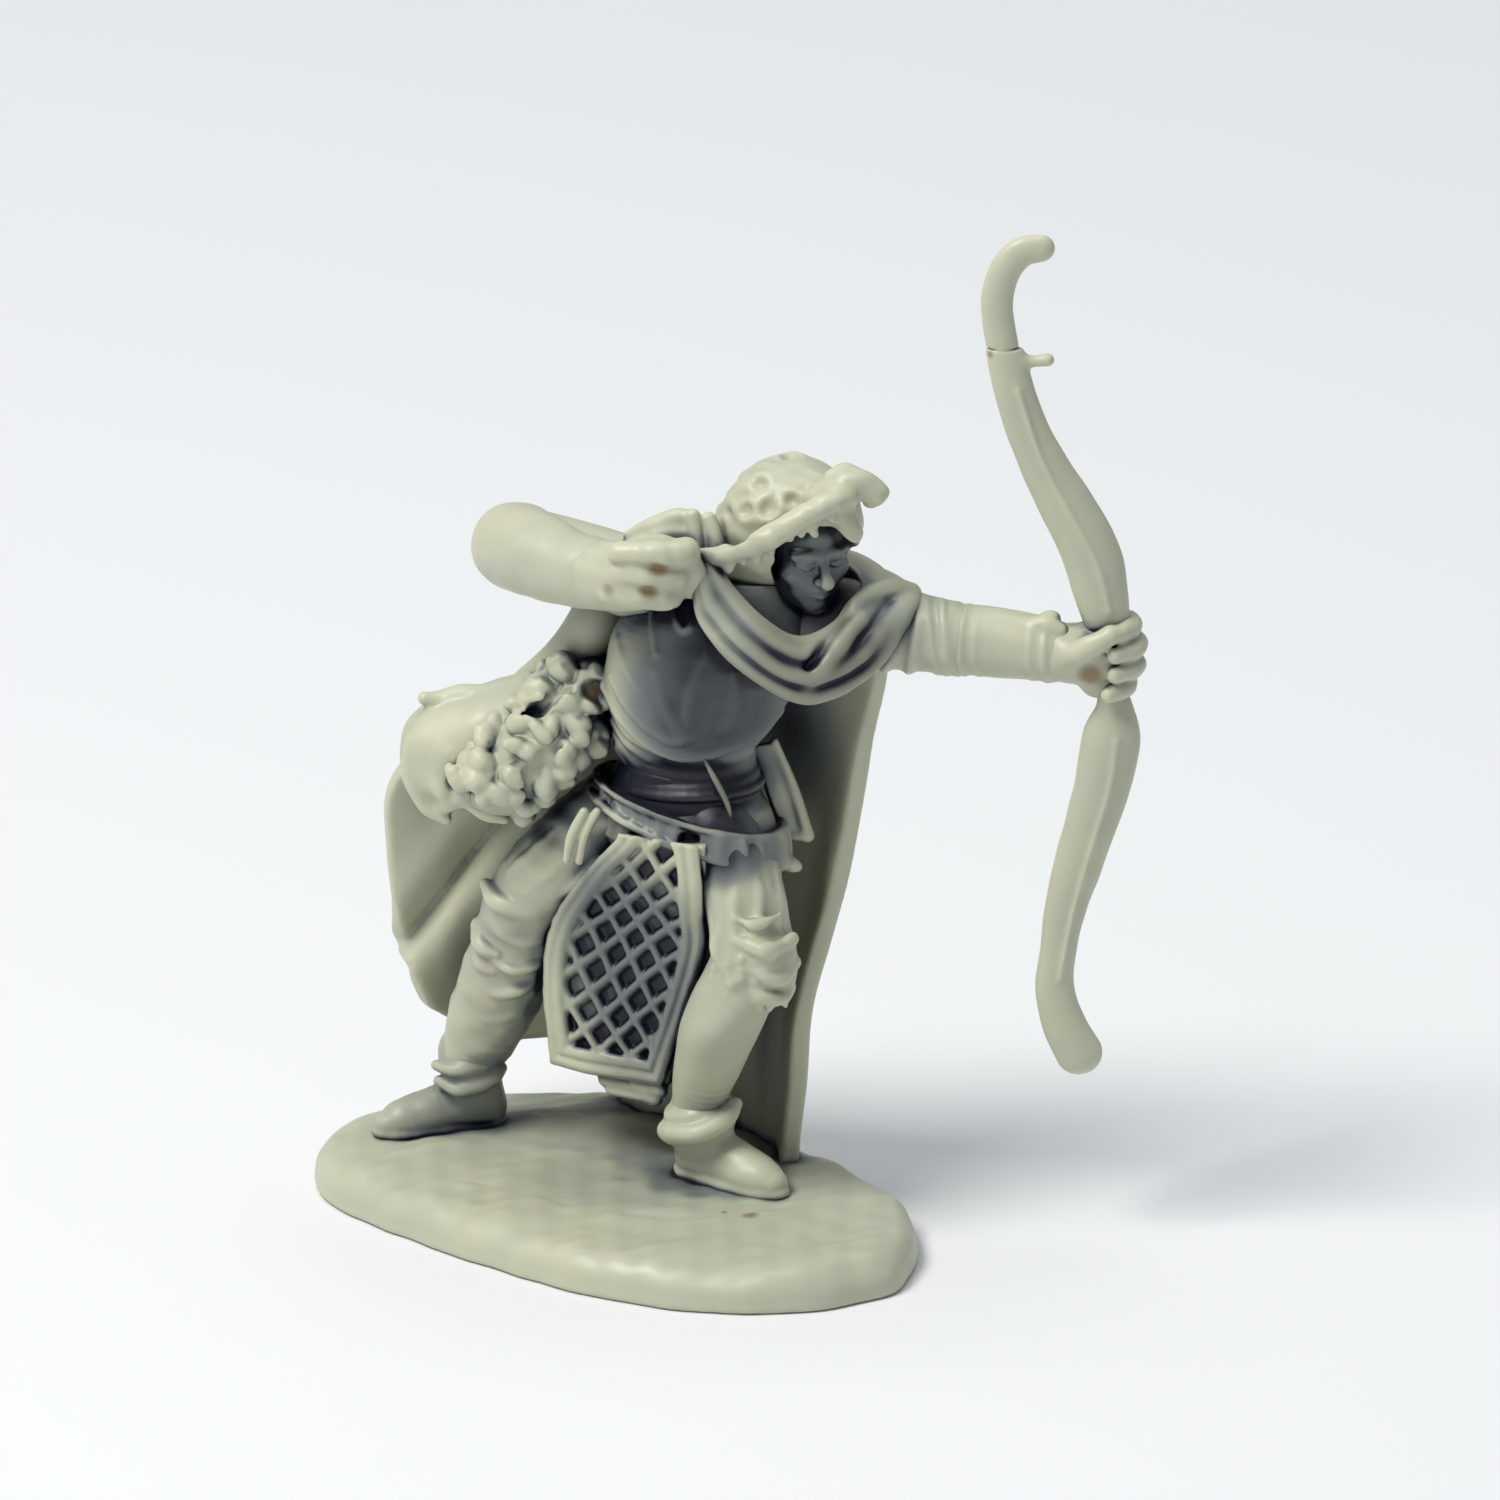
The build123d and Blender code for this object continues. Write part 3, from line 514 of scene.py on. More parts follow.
for path, wide in (
    ([(4.2, -1.7, 14.2), (4.3, -2.3, 13.0), (4.9, -3.0, 12.0), (5.2, -3.1, 11.2)], [0.3, 0.42, 0.4, 0.2]),
    ([(4.9, -2.9, 13.5), (5.7, -3.3, 13.3), (6.5, -3.3, 13.2), (7.3, -2.5, 13.4)], [0.2, 0.36, 0.4, 0.25]),
    ([(5.6, -3.3, 12.6), (6.2, -3.5, 12.1), (6.9, -3.2, 11.9), (7.5, -2.5, 12.3)], [0.2, 0.3, 0.32, 0.2]),
    ([(5.3, -3.1, 11.6), (6.1, -3.4, 11.2), (6.9, -2.9, 10.9), (7.3, -2.2, 11.1)], [0.15, 0.3, 0.3, 0.2]),
    ([(4.2, -1.5, 16.0), (4.3, -1.85, 14.9), (4.3, -2.2, 13.6)], [0.15, 0.3, 0.2]),
    ([(4.9, -1.8, 16.2), (5.05, -2.35, 14.9), (5.0, -2.75, 13.7)], [0.15, 0.32, 0.24]),
    ([(5.8, -1.7, 16.2), (5.95, -2.35, 14.9), (5.8, -2.9, 13.7)], [0.15, 0.3, 0.24]),
    ([(6.6, -1.1, 15.9), (6.75, -1.7, 14.8), (6.8, -2.3, 13.6)], [0.15, 0.3, 0.26]),
    ([(5.0, -2.8, 14.4), (5.9, -3.1, 14.2), (6.8, -2.6, 14.5)], [0.14, 0.24, 0.14]),
):
    left_leg.line(path, wide, 0.16)
rng = np.random.default_rng(4)
for i in range(26):  # the torn hem of the breeches round the knee
    turn = rng.uniform(-2.9, 0.1)
    z = 11.2 + rng.uniform(-0.3, 1.6)
    p = v(5.6, -1.8, z) + v(math.cos(turn) * 1.62, math.sin(turn) * 1.55, 0)
    left_leg.line(
        [p, p + v(rng.uniform(-0.25, 0.25), 0.05, -rng.uniform(0.3, 0.7))],
        [rng.uniform(0.18, 0.32), 0.12],
        0.14,
    )
left_leg.swell(v(2, -5, 12.5), v(9, 3, 17.5), lambda x, y, z: 0.09 * lumps(x, y, z * 0.35, 1.15, 84))
left_leg.ruffle(0.03, 1.5, 83)

right_leg = Clay("right_leg", (-3.02, 4.52, 11.41), 0.07, margin=1.3)
KNEE_R, HIP_R = v(-3.75, 4.6, 12.2), v(0.2, 3.2, 17.0)
right_leg.line(
    [(-6.15, 6.2, 4.2), (-6.0, 6.2, 5.0), (-5.3, 5.9, 6.8), (-4.6, 5.5, 8.8), (-4.0, 5.1, 10.6), KNEE_R],
    [1.2, 1.3, 1.7, 1.85, 1.8, 1.75],
    0,
)
right_leg.line([KNEE_R, (-2.7, 4.1, 13.8), (-1.2, 3.6, 15.6), HIP_R], [1.75, 1.9, 1.9, 1.9], 0.3)
for path, wide in (
    (
        [(-5.4, 4.1, 13.35), (-4.9, 3.2, 12.95), (-3.9, 2.8, 12.7), (-2.9, 3.0, 12.7), (-2.3, 3.2, 12.9)],
        [0.22, 0.4, 0.42, 0.4, 0.2],
    ),
    ([(-4.9, 3.6, 12.6), (-4.3, 3.1, 12.1), (-3.3, 3.2, 11.9)], [0.3, 0.24, 0.1]),
    ([(-5.7, 4.6, 11.3), (-5.5, 4.0, 10.7), (-4.9, 3.5, 10.5)], [0.3, 0.42, 0.2]),
    ([(-5.8, 4.6, 10.2), (-5.6, 4.1, 9.8), (-5.1, 3.7, 9.6)], [0.25, 0.34, 0.15]),
    ([(-4.9, 3.4, 11.4), (-4.1, 3.2, 11.1), (-3.3, 3.3, 11.2), (-2.5, 3.8, 11.5)], [0.1, 0.22, 0.24, 0.1]),
    ([(-5.0, 3.6, 10.1), (-4.2, 3.3, 9.8), (-3.3, 3.5, 10.0), (-2.7, 4.1, 10.3)], [0.1, 0.26, 0.24, 0.1]),
    ([(-5.6, 4.2, 8.9), (-4.8, 3.7, 8.6), (-3.8, 3.7, 8.9), (-3.0, 4.4, 9.3)], [0.1, 0.24, 0.24, 0.1]),
    ([(-5.9, 4.6, 7.5), (-5.2, 4.2, 7.3), (-4.3, 4.2, 7.6), (-3.5, 4.9, 8.1)], [0.1, 0.2, 0.2, 0.1]),
    ([(-1.9, 2.2, 15.4), (-2.6, 2.3, 14.6), (-3.5, 2.7, 13.7)], [0.15, 0.26, 0.2]),
    ([(-0.7, 1.8, 15.2), (-1.6, 2.1, 14.0), (-2.6, 2.7, 13.3)], [0.15, 0.24, 0.15]),
    ([(-2.6, 2.6, 16.2), (-3.4, 2.8, 15.2), (-4.3, 3.3, 14.2)], [0.15, 0.26, 0.2]),
):
    right_leg.line(path, wide, 0.22)
right_leg.ruffle(0.06, 1.3, 8)

# ---------------------------------------------------------------- torso

TORSO = barrel(
    [
        (19.0, 2.9, 2.0, 2.4, 1.7), (20.2, 3.1, 1.9, 2.7, 1.85), (21.6, 3.4, 1.6, 3.35, 2.4),
        (24.0, 3.9, 1.3, 3.85, 2.8), (26.3, 4.6, 1.3, 3.8, 2.4), (27.7, 5.4, 1.2, 2.4, 1.8),
        (28.6, 6.2, 1.0, 1.3, 1.2),
    ]
)
torso = Clay("torso", (4.12, 1.32, 24.35), 0.1)
torso.join(TORSO, 0)

breastplate = Clay("breastplate", (4.00, -0.33, 23.65), 0.06)
PLATE = 0.45  # how far the plate stands off the chest
breastplate.join(outside(TORSO, PLATE), 0)
EDGE_X = [-1.4, -0.6, 0.5, 1.7, 2.6, 3.6, 4.8, 6.0, 6.9, 8.0, 9.0]
EDGE_Z = [24.3, 23.1, 21.7, 20.75, 20.35, 20.3, 20.75, 21.5, 22.4, 24.0, 25.5]
breastplate.keep(lambda x, y, z: 0.85 * (np.interp(x, EDGE_X, EDGE_Z) - z), 0.35)
breastplate.cut((torso.low, torso.low + 20, lambda x, y, z: TORSO[2](x, y, z) + 0.25), 0.02)
breastplate.keep(lambda x, y, z: y - 1.6, 0.2)


def on_plate(points, wide, proud=0.12, soft=0.2):
    """Relief along (x, z) points on the plate; proud is how far its middle stands off."""
    path = drape(TORSO, points, PLATE + proud - np.max(wide))
    breastplate.line(path, wide, soft)


on_plate(
    [
        (-0.4, 23.1), (0.3, 22.2), (1.2, 21.35), (2.1, 20.85), (3.4, 20.65), (4.9, 21.05), (6.0, 21.7),
        (6.8, 22.6),
    ],
    0.2,
    0.14,
    0.3,
)
on_plate(
    [(-0.1, 23.9), (0.5, 23.0), (1.4, 22.1), (2.2, 21.6), (2.7, 21.5)],
    [0.1, 0.16, 0.18, 0.18, 0.12],
    0.12,
    0.3,
)
on_plate([(1.75, 24.6), (2.0, 23.6), (2.45, 22.5), (2.9, 21.8)], [0.08, 0.14, 0.2, 0.28], 0.14, 0.35)
on_plate([(1.55, 28.2), (1.6, 26.6), (1.75, 25.4)], 0.13, 0.1, 0.15)
on_plate([(2.5, 28.0), (2.55, 27.0), (2.85, 26.45), (3.2, 26.9), (3.25, 28.0)], 0.14, 0.11, 0.2)
on_plate([(3.9, 26.0), (3.3, 24.6), (3.0, 23.2), (3.1, 22.4)], [0.05, 0.12, 0.12, 0.05], 0.07, 0.3)
on_plate([(5.0, 24.8), (4.9, 23.4), (4.4, 22.0)], [0.05, 0.14, 0.05], 0.05, 0.35)
on_plate([(0.2, 25.4), (0.6, 24.4), (1.2, 23.6)], [0.06, 0.2, 0.06], 0.08, 0.35)
for low_z in (0.0, 0.62, 1.24, 1.8):
    points = [(-0.1 + 0.1 * low_z, 22.1 - low_z), (0.6, 21.3 - low_z), (1.5, 20.75 - low_z)]
    torso.line(drape(TORSO, points, -0.12), [0.22, 0.26, 0.12], 0.2)
breastplate.ruffle(0.022, 1.3, 71)

# ---------------------------------------------------------------- sash and skirt

WAIST = barrel(
    [
        (16.4, 3.1, 1.85, 4.0, 3.0), (17.6, 3.0, 1.9, 3.75, 2.75), (18.6, 3.0, 2.0, 3.2, 2.3),
        (20.2, 3.1, 1.95, 2.85, 2.0), (21.2, 3.3, 1.8, 3.0, 2.1),
    ],
    HIP_TURN,
)
waist_sash = Clay("waist_sash", (3.16, 1.80, 18.70), 0.07, margin=2.0)
waist_sash.join(WAIST, 0)
for k, z in enumerate((18.7, 19.3, 19.9, 20.5)):
    turns = np.linspace(0, 2 * math.pi, 33)
    wide = 2.75 + 0.22 * max(0, 2 - k)
    path = []
    for t in turns:
        round_body = HIP_SIDE * wide * math.cos(t) + HIP_FRONT * (wide - 0.8) * math.sin(t)
        path.append(v(3.0, 2.0, z - 0.12 * k) + round_body + v(0, 0, 0.3 * math.cos(t + 0.6 * k)))
    waist_sash.line(path, 0.24, 0.22, fine=1)
waist_sash.line(
    [(3.55, -0.6, 20.9), (4.1, -0.95, 19.9), (4.6, -1.1, 18.9), (4.8, -1.2, 18.2)],
    [0.1, 0.15, 0.15, 0.08],
    0.1,
)

tunic_skirt = Clay("tunic_skirt", (3.21, 1.77, 17.10), 0.06, margin=2.2)


def pleats(angle, z):
    """Fine upright folds round the hips."""
    return 0.055 * np.sin(24 * angle + 0.5 * np.sin(2 * z)) + 0.05 * np.sin(9 * angle + 1.2)


BELT = barrel(
    [
        (14.0, 3.1, 1.75, 4.5, 3.45), (16.0, 3.1, 1.75, 4.5, 3.4), (17.6, 3.1, 1.8, 4.25, 3.15),
        (18.8, 3.1, 1.85, 3.9, 2.85), (20.4, 3.1, 1.9, 3.4, 2.4),
    ],
    HIP_TURN,
    pleats,
)


def hem_z(x):
    """Height of the band's lower edge."""
    return 17.05 - 0.3 * (x - 2.4)


def belt_z(x):
    """Height of the band's upper edge."""
    return 18.05 - 0.2 * (x - 2.4)


tunic_skirt.join((tunic_skirt.low, tunic_skirt.low + tunic_skirt.step * tunic_skirt.size, BELT[2]), 0)
tunic_skirt.keep(lambda x, y, z: 0.95 * (z - belt_z(x)), 0.15)
tunic_skirt.keep(lambda x, y, z: 0.95 * (hem_z(x) - z), 0.12)
for height, wide in ((hem_z, 0.19), (belt_z, 0.16)):
    path = []
    for t in np.linspace(0, 2 * math.pi, 41):
        p = v(3.1, 1.75, 0) + HIP_SIDE * 4.42 * math.cos(t) + HIP_FRONT * 3.34 * math.sin(t)
        p[2] = height(p[0])
        inward = unit(v(3.1, 1.75, p[2]) - p) * (0.12 if height is hem_z else 0.32)
        path.append(p + inward)
    tunic_skirt.line(path, wide, 0.12, fine=1)
for x in (-0.4, 0.2, 0.8, 1.4, 5.4, 6.1):
    top, low_p = drape(BELT, [(x - 0.1, belt_z(x) - 0.2), (x, hem_z(x) + 0.15)], -0.02)
    tunic_skirt.line([top, between(top, low_p, 0.5) + v(0.05, -0.05, 0), low_p], [0.12, 0.17, 0.2], 0.2)
tunic_skirt.cut(slab((2.85, -1.9, 16.95), (0.38, 0.85, 0.62), turn_to(HIP_SIDE, UP), 0.15), 0.12)
tunic_skirt.line([(6.6, 0.0, 15.95), (7.2, 0.4, 15.6), (7.5, 0.9, 15.3)], [0.3, 0.36, 0.25], 0.2)
for shift in (0.0, 0.52):
    tunic_skirt.line(
        [(-1.25 + shift, 0.35, 17.9), (-1.75 + shift, 0.3, 16.9), (-2.0 + shift, 0.5, 15.7)],
        [0.2, 0.22, 0.18],
        0.08,
    )
tunic_skirt.ruffle(0.02, 1.1, 72)

# ---------------------------------------------------------------- scale tabard

scale_tabard = Clay("scale_tabard", (0.46, 0.88, 11.30), 0.062, margin=1.9)
TABARD = [  # height, left edge and right edge along the hips' side, centre x and y
    (17.3, -1.3, 2.3, 1.55, -1.05),
    (16.8, -1.5, 2.4, 1.50, -0.90),
    (15.3, -2.7, 2.66, 1.40, -0.55),
    (13.9, -3.3, 3.0, 1.15, 0.1),
    (12.4, -3.8, 3.38, 0.90, 0.75),
    (10.6, -3.93, 3.35, 0.60, 1.3),
    (8.6, -3.7, 3.06, 0.35, 1.75),
    (7.0, -3.23, 2.77, 0.10, 2.05),
    (6.1, -3.05, 2.55, 0.02, 2.2),
    (5.5, -2.95, 2.4, -0.02, 2.3),
]


def tabard_sheet(n=190, m=280):
    """The panel's middle as a grid, and the relief of its diamond lattice and double border."""
    rows = np.array(TABARD)
    line = smooth_line(rows[:, :3], rows[:, [3, 4]], 6)
    rows = np.concatenate([line[0], line[1]], 1)
    t = np.linspace(0, len(rows) - 1, m)
    pick = np.stack([np.interp(t, np.arange(len(rows)), rows[:, i]) for i in range(5)], 1)
    s = np.linspace(0, 1, n)[:, None]
    across = pick[:, 1] + s * (pick[:, 2] - pick[:, 1])
    z = np.broadcast_to(pick[:, 0], across.shape)
    depth = 0.22 * (across / 3.5) ** 2 - 0.1 * np.sin(1.1 * across + 0.5 * z)
    x = pick[:, 3] + across * HIP_SIDE[0] - HIP_FRONT[0] * depth
    y = pick[:, 4] + across * HIP_SIDE[1] - HIP_FRONT[1] * depth
    points = np.stack([x, y, z], -1)
    side = np.minimum(across - pick[:, 1], pick[:, 2] - across)
    edge = np.minimum(side, z - pick[:, 0].min())
    a = (across * 1.02 + z * 0.80 + 0.15 * np.sin(z * 0.9)) / 1.5
    b = (across * 0.98 - z * 0.86 + 0.12 * np.sin(across * 1.3)) / 1.6
    near_a, near_b = np.abs(a - np.round(a)), np.abs(b - np.round(b))
    hollow = smooth(near_a, 0.0, 0.24) * smooth(near_b, 0.0, 0.26)
    inside = smooth(edge, 0.92, 1.12)
    relief = -(0.10 + 0.52 * hollow) * inside
    relief = relief + 0.06 * inside * np.exp(-((near_a / 0.08) ** 2))
    for ridge, wide, tall in ((0.26, 0.19, 0.14), (0.76, 0.16, 0.12)):
        relief = relief + tall * np.exp(-(((edge - ridge) / wide) ** 2))
    return points, relief


points, relief = tabard_sheet()
panel_front = unit(np.array([HIP_FRONT[0], HIP_FRONT[1], 0.25]))
scale_tabard.sheet((points + panel_front * (0.34 + relief[..., None]))[:, ::-1], 0.26, 0)
scale_tabard.sheet((points - panel_front * 0.28)[:, ::-1], 0.5, 0.05)
for start, finish, wide, low_z in ((-0.5, 2.2, 0.3, 5.25), (-0.2, 2.0, 0.26, 4.85)):
    row = [v(0.0, 2.3, low_z) + HIP_SIDE * a for a in np.linspace(start, finish, 5)]
    scale_tabard.line(row, wide, 0.2, flat=0.8, axis=HIP_FRONT)
scale_tabard.line(
    [v(0.0, 2.3, 5.6) + HIP_SIDE * 1.3, v(0.1, 2.3, 4.75) + HIP_SIDE * 1.7],
    [0.4, 0.26],
    0.25,
    flat=0.7,
    axis=HIP_FRONT,
)
scale_tabard.ruffle(0.015, 0.9, 73)

# ---------------------------------------------------------------- side flap

side_flap = Clay("side_flap", (7.28, 1.80, 18.29), 0.07, margin=1.2)
u, w = np.meshgrid(np.linspace(0, 1, 20), np.linspace(0, 1, 40), indexing="ij")
top_l, top_r, low_l, low_r = v(5.6, 1.6, 20.4), v(6.6, 1.9, 20.4), v(6.9, 1.6, 16.3), v(7.95, 2.1, 16.4)
u, w = u[..., None], w[..., None]
flap = (1 - w) * ((1 - u) * top_l + u * top_r) + w * ((1 - u) * low_l + u * low_r)
side_flap.sheet(flap, 0.36, 0)
side_flap.line(
    [top_r + v(0.0, -0.1, 0.1), between(top_r, low_r, 0.5) + v(0.1, -0.15, 0), low_r + v(0, -0.15, -0.1)],
    [0.16, 0.24, 0.3],
    0.2,
)
side_flap.line([low_l, low_r + v(0, -0.15, -0.1)], [0.16, 0.24], 0.2)

# ---------------------------------------------------------------- head

head = Clay("head", (7.80, -0.30, 30.15), 0.06, margin=1.0)
SKULL = v(7.9, -0.3, 29.7)
FACE_F = unit(v(0.42, -0.92, -0.12))
FACE_R = unit(np.cross(FACE_F, UP))
FACE_U = np.cross(FACE_R, FACE_F)


def face(right, forward, up):
    """A place in the head's own frame."""
    return SKULL + FACE_R * right + FACE_F * forward + FACE_U * up


FACE_AXES = np.array([FACE_R, FACE_F, FACE_U])
head.join(egg(face(0, -0.25, 0.75), (1.6, 1.9, 1.85), FACE_AXES), 0)
head.join(egg(face(0, 0.35, -0.9), (1.3, 1.45, 1.6), FACE_AXES), 0.5)
head.join(egg(face(0, 1.25, -2.0), (0.5, 0.4, 0.4), FACE_AXES), 0.45)
head.line([(6.4, 0.9, 27.4), (7.2, 0.4, 28.2)], [1.2, 1.15], 0.4)
for s in (-1, 1):
    head.join(egg(face(s * 0.95, 0.95, -0.5), (0.55, 0.5, 0.5), FACE_AXES), 0.4)
    head.cut(egg(face(s * 0.72, 1.85, 0.12), (0.5, 0.38, 0.3), FACE_AXES), 0.25)
head.line(
    [
        face(-1.15, 1.3, 0.42), face(-0.6, 1.62, 0.5), face(0, 1.62, 0.42), face(0.6, 1.62, 0.5),
        face(1.15, 1.3, 0.42),
    ],
    [0.2, 0.24, 0.2, 0.24, 0.2],
    0.3,
)
head.line([face(0, 1.6, 0.3), face(0, 1.95, -0.25), face(0, 2.2, -0.62)], [0.2, 0.22, 0.3], 0.2)
for s in (-1, 1):
    head.join(ball(face(s * 0.27, 1.88, -0.66), 0.2), 0.15)
    head.join(ball(face(s * 0.68, 1.22, 0.08), 0.44), 0.05)
    head.line([face(s * 0.32, 1.6, 0.12), face(s * 0.68, 1.72, 0.26), face(s * 1.05, 1.42, 0.1)], 0.09, 0.1)
    head.line([face(s * 0.32, 1.6, 0.0), face(s * 0.68, 1.66, -0.14), face(s * 1.05, 1.4, 0.02)], 0.07, 0.1)
head.line(
    [
        face(-0.5, 1.55, -1.22), face(-0.2, 1.76, -1.13), face(0, 1.76, -1.17), face(0.2, 1.76, -1.13),
        face(0.5, 1.55, -1.22),
    ],
    [0.07, 0.12, 0.1, 0.12, 0.07],
    0.12,
)
head.line([face(-0.4, 1.55, -1.36), face(0, 1.74, -1.42), face(0.4, 1.55, -1.36)], [0.07, 0.15, 0.07], 0.12)
head.cut(rod([face(-0.55, 1.66, -1.25), face(0, 1.92, -1.26), face(0.55, 1.66, -1.25)], 0.04), 0.08)

# ---------------------------------------------------------------- hood

hood = Clay("hood", (7.89, 0.23, 30.63), 0.055, margin=1.6)
DOME = v(7.25, 0.55, 30.6)
hood.join(egg(DOME, (2.8, 2.6, 2.75)), 0)
hood.join(egg((5.9, 1.3, 29.4), (2.0, 2.0, 2.4)), 0.7)
hood.join(egg((8.4, -0.3, 31.0), (1.85, 1.8, 1.9)), 0.5)
BRIM = [
    (3.5, -1.7, 29.85), (4.5, -2.3, 30.2), (5.5, -2.7, 30.65), (6.6, -2.9, 31.25), (7.8, -2.95, 32.05),
    (8.8, -2.7, 32.5), (9.6, -2.2, 32.7),
]
hood.line(BRIM, [0.28, 0.4, 0.48, 0.52, 0.5, 0.5, 0.45], 0.6)
hood.line(
    [(8.6, -1.7, 32.3), (9.4, -1.8, 32.9), (10.1, -1.7, 32.95), (10.75, -1.6, 32.6), (10.6, -1.5, 32.3)],
    [0.75, 0.72, 0.66, 0.52, 0.4],
    0.3,
)
hood.line([(8.9, -1.6, 33.3), (9.5, -1.5, 33.5), (10.2, -1.4, 33.2)], [0.3, 0.34, 0.24], 0.15)
hood.line(
    [(9.3, -1.8, 31.9), (9.7, -1.8, 30.9), (9.45, -1.7, 29.7), (9.2, -1.5, 28.9), (9.35, -1.3, 28.2)],
    [0.6, 0.5, 0.45, 0.4, 0.4],
    0.35,
)
hood.cut(egg(face(-0.1, 1.3, -0.35), (1.85, 2.3, 2.0), FACE_AXES), 0.25)
hood.cut(egg(face(0, 0.4, 0.1), (1.8, 2.1, 1.95), FACE_AXES), 0.2)
hood.line(BRIM, [0.18, 0.22, 0.25, 0.27, 0.28, 0.28, 0.28], 0.12)
rng = np.random.default_rng(17)
for i in range(15):  # the torn lower edge under the brim
    t = i / 14
    p = smooth_line(BRIM[:6], fine=14)[int(t * 69)] + v(0, 0.2, -0.3)
    drop = rng.uniform(0.3, 0.75)
    hood.line([p, p + v(rng.uniform(-0.15, 0.3), 0.1, -drop)], [0.3, 0.16], 0.2)
hood.cut(egg((5.3, -2.35, 31.05), (0.75, 0.6, 0.5), turn_to((1, 0, 0.4), (0, -1, 0.4))), 0.3)
for centre, size, start in (  # curls in the cloth of the hood
    (v(6.35, -1.75, 31.95), 0.62, 0.3),
    (v(5.35, -1.2, 31.75), 0.5, 2.0),
    (v(7.3, -1.75, 32.3), 0.5, 4.0),
    (v(8.2, -1.55, 32.4), 0.42, 3.0),
    (v(6.0, -0.7, 32.55), 0.5, 5.2),
    (v(4.8, -0.3, 31.1), 0.5, 5.0),
    (v(4.75, 1.5, 31.3), 0.55, 0.6),
    (v(6.0, 2.7, 31.6), 0.55, 2.6),
    (v(7.9, 2.8, 31.3), 0.55, 4.6),
    (v(9.3, 1.8, 31.2), 0.5, 1.6),
    (v(7.2, 0.8, 33.1), 0.6, 1.1),
):
    out = unit(centre - DOME)
    centre = DOME + out * 2.5
    axes = turn_to(UP, out)
    spiral = []
    for t in np.linspace(0, 4.6, 9):
        arm = axes[0] * math.cos(start + t) + axes[1] * math.sin(start + t)
        spiral.append(centre + arm * size * (1 - 0.1 * t))
    hood.line(spiral, [0.08, 0.16, 0.2, 0.22, 0.22, 0.2, 0.17, 0.13, 0.08], 0.3, fine=2)
    hood.cut(ball(centre + out * 0.3, size * 0.36), 0.4)
hood.ruffle(0.055, 0.95, 21)
# Painted brown shade in the hollow under the brim.
hood.stain_and_shade((5.3, -2.1, 30.9), 0.6)

# ---------------------------------------------------------------- cowl

cowl = Clay("cowl", (6.77, 0.46, 26.75), 0.06, margin=2.2)
# The cowl is draped between an inner and an outer edge, both all the way round the neck.
COWL_IN = [
    (4.3, -1.7, 29.2), (5.1, -2.2, 28.3), (6.3, -2.6, 27.2), (7.6, -2.7, 26.6), (8.9, -2.3, 27.0),
    (9.7, -1.4, 27.6), (10.0, 0.5, 27.8), (8.9, 2.2, 28.2), (6.4, 2.7, 28.4), (4.2, 1.9, 29.0),
    (3.8, 0.0, 29.5),
]
COWL_OUT = [
    (3.5, -1.9, 28.6), (3.95, -2.3, 27.0), (5.4, -2.7, 25.5), (7.7, -2.9, 24.25), (9.9, -2.1, 24.7),
    (11.4, -1.3, 26.3), (12.2, 0.6, 26.6), (10.9, 2.8, 26.4), (6.6, 3.9, 26.7), (1.9, 2.6, 27.6),
    (1.2, 0.2, 28.9),
]


def closed(points, fine=12):
    """A smooth line that ends where it starts."""
    n = len(points)
    return smooth_line([points[i % n] for i in range(-1, n + 2)], fine=fine)[fine : -fine]


inner, outer = closed(COWL_IN), closed(COWL_OUT)
share = np.linspace(0, 1, 80)
cowl_grid = inner[None] * (1 - share)[:, None, None] + outer[None] * share[:, None, None]
away = cowl_grid - v(7.0, 0.9, 26.2)
away /= np.linalg.norm(away, axis=2, keepdims=True)
around = np.linspace(0, 1, len(inner))[None]
wander = 0.12 * np.sin(2 * math.pi * around + 0.8) + 0.05 * np.sin(6 * math.pi * around)
phase = 3.0 * share[:, None] + wander
ridges = 1 - np.abs(np.sin(math.pi * phase)) ** 0.8
ridges = 0.8 * (0.75 - ridges) * np.clip(4 * share * (1 - share) + 0.25, 0, 1)[:, None]
cowl_grid = cowl_grid + away * (0.35 * np.sin(math.pi * share)[:, None, None] + ridges[..., None])
cowl.sheet(cowl_grid, 0.5, 0)
for path, wide in (  # the heavy rolls in front and on the far shoulder
    (
        [
            (3.6, -2.2, 28.2), (4.1, -2.7, 26.9), (5.5, -3.1, 25.5), (7.6, -3.3, 24.3), (8.9, -3.0, 24.4),
            (10.0, -2.4, 24.9),
        ],
        0.3,
    ),
    ([(7.7, -3.4, 24.5), (8.5, -3.5, 25.5), (9.3, -3.1, 26.4), (10.1, -2.3, 27.3)], [0.2, 0.34, 0.36, 0.3]),
    (
        [(10.1, -2.0, 25.0), (10.8, -2.0, 25.9), (11.5, -1.5, 26.9), (12.1, -0.4, 27.4), (12.0, 0.8, 27.3)],
        [0.4, 0.6, 0.62, 0.6, 0.5],
    ),
    (
        [(9.4, -2.2, 26.6), (9.8, -1.9, 27.5), (10.5, -1.3, 28.0), (11.4, -0.7, 28.1), (12.2, -0.1, 27.7)],
        [0.25, 0.36, 0.42, 0.44, 0.4],
    ),
    ([(0.4, 0.3, 28.9), (1.3, -0.2, 29.7), (2.3, -0.3, 30.25), (2.9, -0.4, 30.4)], [0.7, 0.8, 0.85, 0.75]),
    (
        [(0.6, 0.0, 30.2), (1.6, -0.3, 30.75), (2.6, -0.5, 31.15), (3.15, -0.6, 31.1)],
        [0.2, 0.32, 0.36, 0.3],
    ),
    ([(3.25, -0.75, 31.3), (3.35, -1.0, 30.4), (3.4, -1.25, 29.3)], [0.28, 0.34, 0.4]),
    ([(3.9, -0.6, 31.1), (4.1, -0.8, 30.4), (4.2, -1.1, 29.6)], [0.3, 0.4, 0.4]),
):
    cowl.line(path, wide, 0.25)
